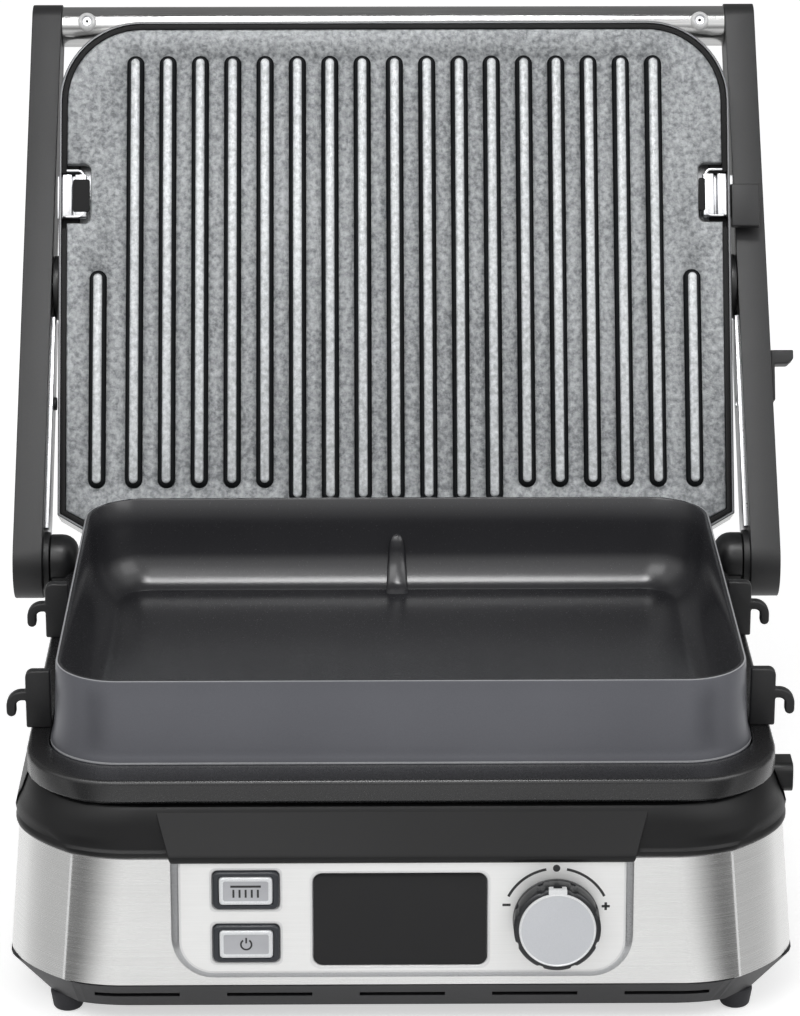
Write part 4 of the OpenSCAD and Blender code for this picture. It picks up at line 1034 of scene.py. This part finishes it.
    def build_symbols(self) -> None:
        """Prints a plate mark and a power mark on the keys."""
        x, top, low = self.key_x, self.key_y[0], self.key_y[1]
        power = Shape()
        self.stroke(power, arc(x, low, 2.1, 125, 415, 28), 0.7, 6.5)
        self.stroke(power, [(x, low + 0.5), (x, low + 2.8)], 0.7, 6.5)
        power.piece("power_mark", "on_key", ON_PANEL, [PRINT])
        plate = Shape()
        self.stroke(plate, [(x - 6, top + 2.0), (x + 6, top + 2.0)], 0.9, 6.5)
        for i in range(-2, 3):
            self.stroke(plate, [(x + 2.4 * i, top - 2.6), (x + 2.4 * i, top + 0.7)], 0.8, 6.5)
        plate.piece("plate_mark", "plate_key", ON_PANEL, [PRINT])

    def build_marks(self) -> None:
        """Prints the dial's dot, arcs, minus and plus."""
        cx, cy = self.dial_at
        z = self.thick
        marks = Shape()
        for a0, a1 in ((27, 79), (101, 153)):
            self.stroke(marks, arc(cx, cy, 21.2, a0, a1, 24), 1.05, z)
        marks.prism(arc(cx, cy + 21.3, 1.45, 0, 345, 23), z, z + PRINT_THICK)
        self.stroke(marks, [(cx - 21.2, cy + 6.1), (cx - 18.0, cy + 6.1)], 1.0, z)
        self.stroke(marks, [(cx + 17.9, cy + 5.4), (cx + 21.1, cy + 5.4)], 1.0, z)
        self.stroke(marks, [(cx + 19.5, cy + 3.8), (cx + 19.5, cy + 7.0)], 1.0, z)
        marks.piece("dial_marks", "base", ON_PANEL, [PRINT])

    def build_dial(self) -> None:
        """Makes the knob: skirt, fluted grip, satin face and pointer."""
        cx, cy = self.dial_at
        r, z = self.dial_d / 2, self.thick + 0.3
        grip = Shape()
        skirt = [(0, z), (r - 0.3, z), (r, z + 0.3), (r, z + 1.8), (r - 0.4, z + 2.4), (0, z + 2.4)]
        grip.lathe(skirt, (cx, cy))
        ways = [math.radians(i * 2.5) for i in range(144)]
        deep = [0.55 if i % 18 in (8, 9, 10) else 0.0 for i in range(144)]
        rings = []
        end = self.dial_l
        for shrink, height in ((0.15, 2.3), (0.05, end - 2.2), (0.5, end - 1.6), (1.4, end - 1.2)):
            reach = [r - shrink - d for d in deep]
            row = [(cx + q * math.cos(a), cy + q * math.sin(a)) for a, q in zip(ways, reach)]
            rings.append(levels_at(row, z + height))
        grip.loft(rings)
        grip.piece("fluted_knob", "dial", ON_PANEL, [KNOB_DARK], ["dial_knob"], smooth=40)
        face = Shape()
        q, top = r - 2.0, z + self.dial_l - 1.5
        face.lathe([(q - 0.9, top + 0.75), (0, top + 0.85)], (cx, cy))
        known = set(face.bm.faces)
        rim = [(0, top), (q - 0.1, top), (q, top + 0.3), (q - 0.2, top + 0.85), (q - 0.6, top + 1.0)]
        face.lathe([*rim, (q - 0.9, top + 0.75)], (cx, cy))
        # The face's rolled rim is painted light as a highlight.
        for made in face.bm.faces:
            if made not in known:
                made.material_index = 1
        finishes = [KNOB_FACE, POINTER_AND_EDGE_HIGHLIGHT]
        face.piece("satin_face", "dial", ON_PANEL, finishes, ["dial_face"], smooth=30)
        pointer = Shape()
        pointer.prism(rounded(7.2, 2.4, 0.5, 3, cx, cy + r - 1.35), top - 2.6, top + 0.75)
        pointer.soften(0.25, 40, 2)
        pointer.piece("dial_pointer", "dial", ON_PANEL, [POINTER_AND_EDGE_HIGHLIGHT])

    def build(self) -> None:
        """Builds the controls."""
        self.build_panel()
        self.build_window()
        self.build_keys()
        self.build_dial()
        self.build_marks()
        self.shop.paint(PIN_STEEL, "dial_shaft", "dial_encoder")
        self.shop.paint(CELL, "display_module")


# ---------------------------------------------------------------- arms and lid


@dataclass
class Arms:
    """Hinge towers, swinging arms and the handle tube."""

    shop: Workshop
    tube_u: float = 262.8
    tube_v: float = -52.0
    tube_r: float = 9.5
    tube_half: float = 157.1
    tube_wall: float = 1.5
    screw_x: float = 145.3
    tower_r: float = 12.0
    tower_x: Point = (144.2, 156.4)
    pin_bore: float = 4.05

    def build_tube(self) -> None:
        """Makes the brushed tube."""
        shape = Shape()
        across = Matrix.Translation((0, self.tube_u, self.tube_v)) @ Matrix.Rotation(math.pi / 2, 4, "Y")
        outer = [(self.tube_r, -self.tube_half), (self.tube_r, self.tube_half)]
        bore = self.tube_r - self.tube_wall
        inner = [(bore, self.tube_half), (bore, -self.tube_half)]
        shape.lathe([*outer, *inner, outer[0]], n=96)
        shape.turned(across)
        shape.piece("brushed_handle", "arms", ON_LID, [TUBE_STEEL], ["handle_tube"], smooth=40)

    def build_towers(self) -> None:
        """Makes the two hinge towers, domed at their inner ends and bored for the pins."""
        r, bore, (near, far) = self.tower_r, self.pin_bore, self.tower_x
        turns = [math.radians(15 * i) for i in range(7)]
        dome = [(r - 7.0 + 7.0 * math.sin(a), near + 7.4 - 7.4 * math.cos(a)) for a in turns]
        profile = [(bore, near), *dome, (r, far - 0.4), (r - 0.4, far), (bore, far), (bore, near)]
        for side, node in ((-1, "left_hinge_tower"), (1, "right_hinge_tower")):
            tower = Shape()
            tower.lathe(profile, (0.0, 0.0), 64)
            tower.turned(Matrix.Rotation(side * math.pi / 2, 4, "Y"))
            tower.turned(Matrix.Translation(HINGE))
            tower.prism(rounded(10.0, 13.2, 1.6, 4, side * 151.4, HINGE.y - 5.3), 81.6, 102.4)
            tower.piece(node + "_domed", "base", ON_BASE, [ABS_BLACK], [node], smooth=40)

    def build_screws(self) -> None:
        """Makes the two domed screws on their washers, with heads painted light as a highlight and drives
        painted black as shade.
        """
        shape = Shape()
        z = self.tube_r
        screw = [
            (0, z + 0.3), (0.6, z + 0.3), (0.7, z + 0.9), (2.0, z + 1.0), (2.4, z + 1.7), (3.0, z + 2.0),
            (3.7, z + 1.7), (4.2, z + 0.9), (4.35, z + 0.1), (4.35, z - 1.0), (0, z - 1.0),
        ]
        for side in (-1, 1):
            shape.lathe(screw, (side * self.screw_x, 0), 40)
        for face in shape.bm.faces:
            middle = face.calc_center_median()
            reach = math.hypot(abs(middle.x) - self.screw_x, middle.y)
            # Outer face painted light as a highlight, middle ring plain steel, drive painted black as shade.
            face.material_index = 2 if reach < 1.0 else int(reach < 2.5)
        shape.turned(Matrix.Translation((0, self.tube_u, self.tube_v)))
        finishes = [STEEL_EDGE_HIGHLIGHT, PLAIN_STEEL, BLACK_FRAME_AND_GAP_SHADE]
        shape.piece("domed_screws", "arms", ON_LID, finishes, ["handle_screws"], smooth=35)

    def build(self) -> None:
        """Builds the arms and what they carry."""
        self.build_tube()
        self.build_screws()
        for node in ("left_arm", "right_arm"):
            self.shop.refine(node, ARM_NYLON, 1.3, 40, 4)
        self.build_towers()
        for node in ("left_arm_strap", "right_arm_strap"):
            self.shop.refine(node, PLAIN_STEEL, 0.3, 40)
        self.shop.refine("hinge_release_lever", ARM_NYLON, 0.6, 40, 3)
        self.shop.paint(ARM_NYLON, "handle_plugs")
        self.shop.refine("float_stop_pin", ARM_NYLON, 0.3, 40)
        self.shop.paint(PIN_STEEL, "hinge_pins", "lid_pivot_pins")


def lid_plan(inset: float, n: int = 16) -> Outline:
    """Draws the lid in x and u: round far corners and cut near ones.

    Args:
        inset: How far it is drawn in.
        n: The number of steps of each round corner.

    Returns:
        The outline.
    """
    x, far, near, r = LID_HALF - inset, LID_FAR - inset, LID_NEAR + inset, LID_CORNER - inset
    cut, run = 16.0, 27.7
    right = [(0.0, near), (x - run + inset * 0.3, near), (x - 0.6, near + cut - inset * 0.45)]
    return with_mirror_open([*right, *arc(x - r, far - r, r, 0, 90, n), (0.0, far)])


def with_mirror_open(right: Outline) -> Outline:
    """Closes a right half whose first and last points lie on the middle line."""
    return right + [(-x, y) for x, y in reversed(right[1:-1])]


@dataclass
class Lid:
    """Steel cover, black frame and the ribbed cooking plate."""

    shop: Workshop
    face_v: float = -8.0
    edge: float = 26.0
    deep: float = 38.0
    sheet: float = 1.2
    inset: float = 3.8
    plate_t: float = 5.0
    rib_pitch: float = 15.0
    rib_w: float = 6.6
    rib_top: float = 3.3
    rib_h: float = 4.0
    rib_u: tuple[float, float, float] = (28.0, 34.8, 236.3)
    short_x: float = 136.8
    short_far: float = 134.9
    notch_u: float = 172.0
    notch_l: float = 28.0
    notch_d: float = 11.0

    def shrunk(self, inset: float, s: float, v: float) -> list[Vector]:
        """Returns the lid's outline drawn in by inset and scaled about its middle, at a depth."""
        mid = (LID_FAR + LID_NEAR) / 2
        return [Vector((x * s, mid + (u - mid) * s, v)) for x, u in lid_plan(inset)]

    def build_cover(self) -> None:
        """Makes the pressed steel cover with its softly crowned back."""
        top, back, t = self.face_v - self.deep, self.face_v - self.edge, self.sheet
        rows = [
            (0, 0.80, top), (0, 0.86, top + 1.0), (0, 0.90, top + 3.0), (0, 0.945, top + 5.8),
            (0, 0.975, top + 8.4), (0, 0.993, back), (0, 1.0, back + 3.0), (0, 1.0, self.face_v - 0.4),
            (0.4, 1.0, self.face_v), (t - 0.2, 1.0, self.face_v), (t, 1.0, self.face_v - 0.5),
            (t, 1.0, back + 2), (t, 0.90, top + 4.5), (t, 0.80, top + t),
        ]
        shape = Shape()
        shape.loft([self.shrunk(inset, share, v) for inset, share, v in rows])
        for face in shape.bm.faces:
            face.material_index = int(face.calc_center_median().z > self.face_v - 0.25)
        finishes = [LID_STEEL, LID_RIM]
        shape.piece("crowned_cover", "lid", ON_LID, finishes, ["lid_cover"], smooth=35)

    def plate_outline(self, inset: float) -> Outline:
        """Draws the plate with its two notches.

        Args:
            inset: How far it is drawn in.

        Returns:
            The outline.
        """
        half = LID_HALF - self.inset - inset
        u0, u1 = self.notch_u - self.notch_l / 2 - inset, self.notch_u + self.notch_l / 2 + inset
        bottom = half - self.notch_d
        points = lid_plan(self.inset + inset)
        start = next(i for i, (x, u) in enumerate(points) if x > half - 1.5 and u > u1)
        notch = self.notch_line(half, bottom, u0, u1, 3.0, 3.0, 5)
        right = points[:start] + notch + points[start:len(points) // 2 + 1]
        return with_mirror_open(right)

    @staticmethod
    def notch_line(mouth: float, deep: float, u0: float, u1: float, r: float, bend: float, n: int) -> Outline:
        """Draws the U of a notch, from its mouth in and out again.

        Args:
            mouth: Where it opens, in x.
            deep: How far in it reaches, in x.
            u0: Its near side.
            u1: Its far side.
            r: How far the middles of its bends lie from its sides.
            bend: The radius of its bends.
            n: The number of steps of each bend.

        Returns:
            The open line.
        """
        near = arc(deep + r, u0 + r, bend, 270, 180, n)
        far = arc(deep + r, u1 - r, bend, 180, 90, n)
        return [(mouth, u0 + r - bend), *near, *far, (mouth, u1 - r + bend)]

    def build_plate(self) -> None:
        """Makes the cast plate: rounded edge, seventeen long ribs and two short ones, with rib walls painted
        near black as shade and rib tops painted light as a highlight.
        """
        shape = Shape()
        field_v = self.face_v - 0.2
        rows = [(0.0, field_v - self.plate_t), (0.0, field_v - 0.7), (0.25, field_v - 0.2), (0.8, field_v)]
        rings = [levels_at(self.plate_outline(i), v) for i, v in rows]
        shape.loft(rings, cap_first=True, cap_last=False)
        top = shape.rim(field_v)
        near_mid, near, far = self.rib_u
        ways = range(-8, 9)
        bars = [(i * self.rib_pitch, near_mid if abs(i) <= 3 else near, far) for i in ways]
        bars += [(side * self.short_x, near, self.short_far) for side in (-1, 1)]
        profile = [
            (self.rib_w + 1.5, 0.0), (self.rib_w + 0.5, -0.5), (self.rib_w - 0.1, 0.3),
            (self.rib_top + 0.7, self.rib_h - 0.9), (self.rib_top + 0.2, self.rib_h - 0.25),
            (self.rib_top - 0.8, self.rib_h),
        ]
        for x, u0, u1 in bars:
            rings = []
            for w, h in profile:
                grow = (w - self.rib_w) / 2
                d = u1 - u0 + 2 * grow
                rings.append(levels_at(rounded(w, d, w / 2 - 0.01, 8, x, (u0 + u1) / 2), field_v + h))
            before = set(shape.bm.edges)
            faces = set(shape.bm.faces)
            # The groove round each rib and its walls are painted near black as shade; its rounding and flat
            # top are painted light as a highlight.
            shape.loft(rings, cap_first=False, cap_last=True, slots=[2, 2, 2, 1, 1])
            for face in shape.bm.faces:
                if face not in faces and len(face.verts) > 8:
                    face.material_index = 1
            top += shape.rim(field_v, before)
        bmesh.ops.triangle_fill(shape.bm, edges=top, use_beauty=True, use_dissolve=False)
        coats = [PLATE_COAT, RIB_TOP_HIGHLIGHT, RIB_WALL_SHADE]
        shape.piece("ribbed_plate", "lid", ON_LID, coats, ["upper_plate"], smooth=50)

    def build_notch_wires(self) -> None:
        """Makes the bright wires in the plate's notches, and dark sheets painted as the shade in the slots of
        clip and latch.
        """
        half = LID_HALF - self.inset
        mouth, deep, r, thick = half + 0.6, half - self.notch_d + 2.9, 3.2, 1.1
        u0, u1 = self.notch_u - self.notch_l / 2 + 2.6, self.notch_u + self.notch_l / 2 - 2.6
        level = self.face_v - 1.6
        for name, side in (("left_notch_wire", -1), ("right_notch_wire", 1)):
            outer = self.notch_line(mouth, deep, u0, u1, r, r, 6)
            inner = self.notch_line(mouth, deep, u0, u1, r, r - thick, 6)
            shape = Shape()
            shape.prism([(side * x, u) for x, u in outer + inner[::-1]], level, level + 1.2)
            shape.soften(0.3, 40, 2)
            shape.piece(name, "lid", ON_LID, [PLAIN_STEEL], smooth=50)
        tab_body = self.shop.body_of["plate_release_tab"]
        # Dark sheets painted as shade in the clip's window and the latch's slit.
        slots = (
            ("left_clip_window_shade", "lid", 7.8, 1.2, 6.6 - half),
            ("right_latch_slit_shade", tab_body, 3.0, 1.0, half - 9.4),
        )
        for name, body, w, r, x in slots:
            slot = Shape()
            slot.prism(rounded(w, 15.4, r, 4, x, self.notch_u - 1.0), self.face_v - 1.2, self.face_v - 0.3)
            slot.soften(0.25, 40, 2)
            slot.piece(name, body, ON_LID, [BLACK_FRAME_AND_GAP_SHADE], smooth=50)

    def build(self) -> None:
        """Builds the lid."""
        self.build_cover()
        self.build_plate()
        self.build_notch_wires()
        # The frame's matt black also stands in, as painted shade, for the gap between lid and plate.
        self.shop.refine("lid_frame", BLACK_FRAME_AND_GAP_SHADE, 0.3, 40)
        self.shop.refine("pivot_bosses", ABS_BLACK, 0.6, 40, 3)
        self.shop.refine("left_plate_clip", PLAIN_STEEL, 0.3, 40)
        self.shop.refine(
            "plate_release_tab", ARM_NYLON, 0.6, 40, 3, second=PLAIN_STEEL,
            in_second=lambda middle: middle.x + CENTRE.x < 155.6,
        )
        self.shop.paint(PLAIN_STEEL, "upper_reflector", "upper_element_clips")
        self.shop.paint(PLAIN_STEEL, "upper_thermostat", "lid_frame_screws")
        self.shop.paint(ELEMENT_STEEL, "upper_element")


# ---------------------------------------------------------------- studio


@dataclass
class Studio:
    """White floor and backdrop, soft lamps, flags that shade the metal, and the camera."""

    eye: Vector = field(default_factory=lambda: Vector((-14.126, -1507.837, 693.989)))
    look: Vector = field(default_factory=lambda: Vector((0.009076, 0.945475, -0.325568)))
    lens: float = 135.5
    ambient: float = 0.55
    floor_glow: float = 0.3
    floor_white: float = 0.56
    corner: Vector = field(default_factory=lambda: Vector((140.0, -125.0, 0.0)))
    flag_tones: Sequence[Point] = (
        (-60, 0.95), (-28, 0.8), (-8, 0.56), (10, 0.5), (20, 0.75), (27, 0.85), (31, 0.2), (50, 0.13),
        (64, 0.45), (82, 0.95),
    )
    room_tones: Sequence[Point] = (
        (0.0, 0.3), (0.1, 0.34), (0.24, 0.55), (0.34, 1.0), (0.84, 1.0), (0.91, 0.35), (0.97, 0.16),
    )
    strip_glow: float = 20.0
    strip_rise: float = 70.0
    strip_size: Point = (0.42, 0.6)

    def build_camera(self) -> None:
        """Places the camera."""
        data = bpy.data.cameras.new("camera")
        data.lens, data.sensor_width, data.sensor_fit = self.lens, 36.0, "AUTO"
        data.clip_start, data.clip_end = 0.1, 50.0
        camera = bpy.data.objects.new("camera", data)
        camera.location = (self.eye - CENTRE) * MM
        camera.rotation_euler = self.look.to_track_quat("-Z", "Y").to_euler()
        bpy.context.scene.collection.objects.link(camera)
        bpy.context.scene.camera = camera

    def build_world(self) -> None:
        """Lights evenly from all round, and gives polished surfaces a graded studio to mirror.

        The camera sees plain white. Mirrored, the room is bright in front up to two thirds of
        the way overhead and dim above and behind, as round a product table.
        """
        world = bpy.data.worlds.new("studio")
        world.use_nodes = True
        tree = world.node_tree
        tree.nodes.clear()
        path = add(tree, "ShaderNodeLightPath", {})
        way = add(tree, "ShaderNodeTexCoord", {}).outputs["Generated"]
        axes = add(tree, "ShaderNodeSeparateXYZ", {"Vector": way})
        front = add(tree, "ShaderNodeValToRGB", {"Fac": axes.outputs["Z"]})
        self.set_ramp(front, self.room_tones)
        ahead = add(
            tree, "ShaderNodeMapRange", {"Value": axes.outputs["Y"], "From Min": 0.3, "From Max": -0.1},
        )
        raised = add(tree, "ShaderNodeMath", {0: front.outputs["Color"], 1: 1.25}, operation="MULTIPLY")
        mirrored = add(
            tree, "ShaderNodeMix", {0: ahead.outputs[0], 2: 0.25, 3: raised.outputs[0]}, data_type="FLOAT",
        )
        level = add(
            tree, "ShaderNodeMix",
            {0: path.outputs["Is Glossy Ray"], 2: self.ambient, 3: mirrored.outputs[0]}, data_type="FLOAT",
        )
        plain = add(
            tree, "ShaderNodeMath",
            {0: path.outputs["Is Camera Ray"], 1: path.outputs["Is Transmission Ray"]}, operation="MAXIMUM",
        )
        strength = add(
            tree, "ShaderNodeMix", {0: plain.outputs[0], 2: level.outputs[0], 3: 1.0}, data_type="FLOAT",
        )
        lit = add(tree, "ShaderNodeBackground", {"Color": linear("#ffffff"), "Strength": strength.outputs[0]})
        add(tree, "ShaderNodeOutputWorld", {"Surface": lit.outputs[0]})
        bpy.context.scene.world = world

    @staticmethod
    def set_ramp(node: bpy.types.Node, stops: Sequence[Point]) -> None:
        """Gives a ramp node its stops.

        Args:
            node: The ramp node.
            stops: Places from 0 to 1, each with its grey level.
        """
        ramp = node.color_ramp
        while len(ramp.elements) < len(stops):
            ramp.elements.new(1.0)
        for element, (spot, level) in zip(ramp.elements, stops):
            element.position = spot
            element.color = (level, level, level, 1.0)

    @staticmethod
    def quad(name: str, size: Point, spot: Vector, towards: Vector) -> bpy.types.Object:
        """Makes a rectangle of the stage.

        Args:
            name: Its name.
            size: Its width and height, in metres.
            spot: Its middle.
            towards: The point that it faces.

        Returns:
            The new object.
        """
        shape = bmesh.new()
        bmesh.ops.create_grid(shape, x_segments=1, y_segments=1, size=0.5)
        turn = (towards - spot).to_track_quat("Z", "Y").to_matrix().to_4x4()
        matrix = Matrix.Translation(spot) @ turn @ Matrix.Diagonal((size[0], size[1], 1, 1))
        bmesh.ops.transform(shape, matrix=matrix, verts=shape.verts)
        mesh = bpy.data.meshes.new(name)
        shape.to_mesh(mesh)
        shape.free()
        obj = bpy.data.objects.new(name, mesh)
        bpy.context.scene.collection.objects.link(obj)
        obj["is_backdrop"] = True
        return obj

    def build_floor(self) -> None:
        """Makes the floor: white to the camera where it is lit, and it keeps the shadow."""
        floor = self.quad("floor", (14.0, 14.0), Vector((0, 0, 0)), Vector((0, 0, 1)))
        material = bpy.data.materials.new("white_floor")
        material.use_nodes = True
        tree = material.node_tree
        tree.nodes.clear()
        path = add(tree, "ShaderNodeLightPath", {})
        mirrored = add(
            tree, "ShaderNodeMath",
            {0: path.outputs["Is Glossy Ray"], 1: self.floor_glow}, operation="MULTIPLY",
        )
        glow = add(
            tree, "ShaderNodeMath",
            {0: path.outputs["Is Camera Ray"], 1: self.floor_white, 2: mirrored.outputs[0]},
            operation="MULTIPLY_ADD",
        )
        paint = add(tree, "ShaderNodeBsdfDiffuse", {"Color": linear("#e6e6e6")})
        shine = add(tree, "ShaderNodeEmission", {"Color": linear("#ffffff"), "Strength": glow.outputs[0]})
        both = add(tree, "ShaderNodeAddShader", {0: paint.outputs[0], 1: shine.outputs[0]})
        add(tree, "ShaderNodeOutputMaterial", {"Surface": both.outputs[0]})
        floor.data.materials.append(material)

    def build_flags(self) -> None:
        """Lays grey cards on the floor beside the front corners, seen only in the steel.

        Their tone turns with the direction from the corner: mid grey to the side, a light
        gap, dark ahead of it and white again in front, which draws the band's creases.
        """
        material = bpy.data.materials.new("corner_flag")
        material.use_nodes = True
        tree = material.node_tree
        tree.nodes.clear()
        spot = add(tree, "ShaderNodeTexCoord", {}).outputs["Object"]
        axes = add(tree, "ShaderNodeSeparateXYZ", {"Vector": spot})
        centred = add(tree, "ShaderNodeMath", {0: axes.outputs["X"], 1: CENTRE.x * MM}, operation="ADD")
        side = add(tree, "ShaderNodeMath", {0: centred.outputs[0]}, operation="ABSOLUTE")
        out = add(tree, "ShaderNodeMath", {0: side.outputs[0], 1: self.corner.x * MM}, operation="SUBTRACT")
        ahead = add(
            tree, "ShaderNodeMath",
            {0: (self.corner.y - CENTRE.y) * MM, 1: axes.outputs["Y"]}, operation="SUBTRACT",
        )
        turn = add(tree, "ShaderNodeMath", {0: ahead.outputs[0], 1: out.outputs[0]}, operation="ARCTAN2")
        share = add(
            tree, "ShaderNodeMapRange",
            {"Value": turn.outputs[0], "From Min": math.radians(-30), "From Max": math.radians(90)},
        )
        tone = add(tree, "ShaderNodeValToRGB", {"Fac": share.outputs[0]})
        self.set_ramp(tone, [((a + 30) / 120, level) for a, level in self.flag_tones])
        shade = add(tree, "ShaderNodeEmission", {"Color": tone.outputs["Color"], "Strength": 1.0})
        add(tree, "ShaderNodeOutputMaterial", {"Surface": shade.outputs[0]})
        for side_of in (-1, 1):
            name = "flag_left" if side_of < 0 else "flag_right"
            spot_at = (Vector((side_of * 860.0, -340.0, 0.6)) - CENTRE) * MM
            card = self.quad(name, (1.44, 1.6), spot_at, spot_at + Vector((0, 0, 1)))
            card.data.materials.append(material)
            self.only_mirrored(card)

    @staticmethod
    def only_mirrored(card: bpy.types.Object) -> None:
        """Hides a card from everything but glossy rays."""
        card.visible_camera = card.visible_diffuse = card.visible_shadow = card.visible_transmission = False

    def build_strip(self) -> None:
        """Hangs a long bright strip in front, which only glossy rays see, for crisp highlights."""
        material = bpy.data.materials.new("strip_light")
        material.use_nodes = True
        tree = material.node_tree
        tree.nodes.clear()
        glow = add(tree, "ShaderNodeEmission", {"Color": linear("#ffffff"), "Strength": self.strip_glow})
        add(tree, "ShaderNodeOutputMaterial", {"Surface": glow.outputs[0]})
        rise = math.radians(self.strip_rise)
        spot = Vector((0, -2.2 * math.cos(rise), 0.1 + 2.2 * math.sin(rise)))
        card = self.quad("strip", self.strip_size, spot, Vector((0, 0, 0.1)))
        card.data.materials.append(material)
        self.only_mirrored(card)

    @staticmethod
    def lamp(name: str, power: float, size: Point, spot: Vector, towards: Vector) -> None:
        """Adds a soft rectangular lamp.

        Args:
            name: Its name.
            power: Its power, in watts.
            size: Its width and height, in metres.
            spot: Its place.
            towards: The point that it faces.
        """
        data = bpy.data.lights.new(name, "AREA")
        data.shape, data.energy = "RECTANGLE", power
        data.size, data.size_y = size
        lamp = bpy.data.objects.new(name, data)
        lamp.location = spot
        lamp.rotation_euler = (towards - spot).to_track_quat("-Z", "Y").to_euler()
        bpy.context.scene.collection.objects.link(lamp)

    def build(self) -> None:
        """Builds the studio."""
        self.build_camera()
        self.build_world()
        self.build_floor()
        self.build_flags()
        self.build_strip()
        self.lamp("key", 16.0, (1.6, 1.2), Vector((-0.9, -1.6, 1.9)), Vector((0, 0, 0.15)))
        self.lamp("fill", 8.0, (1.4, 1.2), Vector((1.4, -1.2, 1.3)), Vector((0, 0, 0.15)))
        bpy.context.scene.view_settings.view_transform = "Standard"


def corners() -> list[list[float]]:
    """Measures the whole object.

    Returns:
        The lowest and the highest corner of its box, as plain lists.
    """
    low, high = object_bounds()
    return [[round(float(c), 5) for c in low], [round(float(c), 5) for c in high]]


def main() -> None:
    """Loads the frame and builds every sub-assembly."""
    logging.basicConfig(level=logging.INFO, format="%(message)s")
    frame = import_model()
    record = frame["record"]
    body_of = {node: body for body, group in record["behaviour"]["bodies"].items() for node in group}
    slot_of = {row["node"]: row["material_slot"] for row in record["subparts"]}
    shop = Workshop(frame["nodes"], body_of, slot_of)
    for part in (Base(shop), Pan(shop), Controls(shop), Arms(shop), Lid(shop), Studio()):
        part.build()


if __name__ == "__main__":
    main()
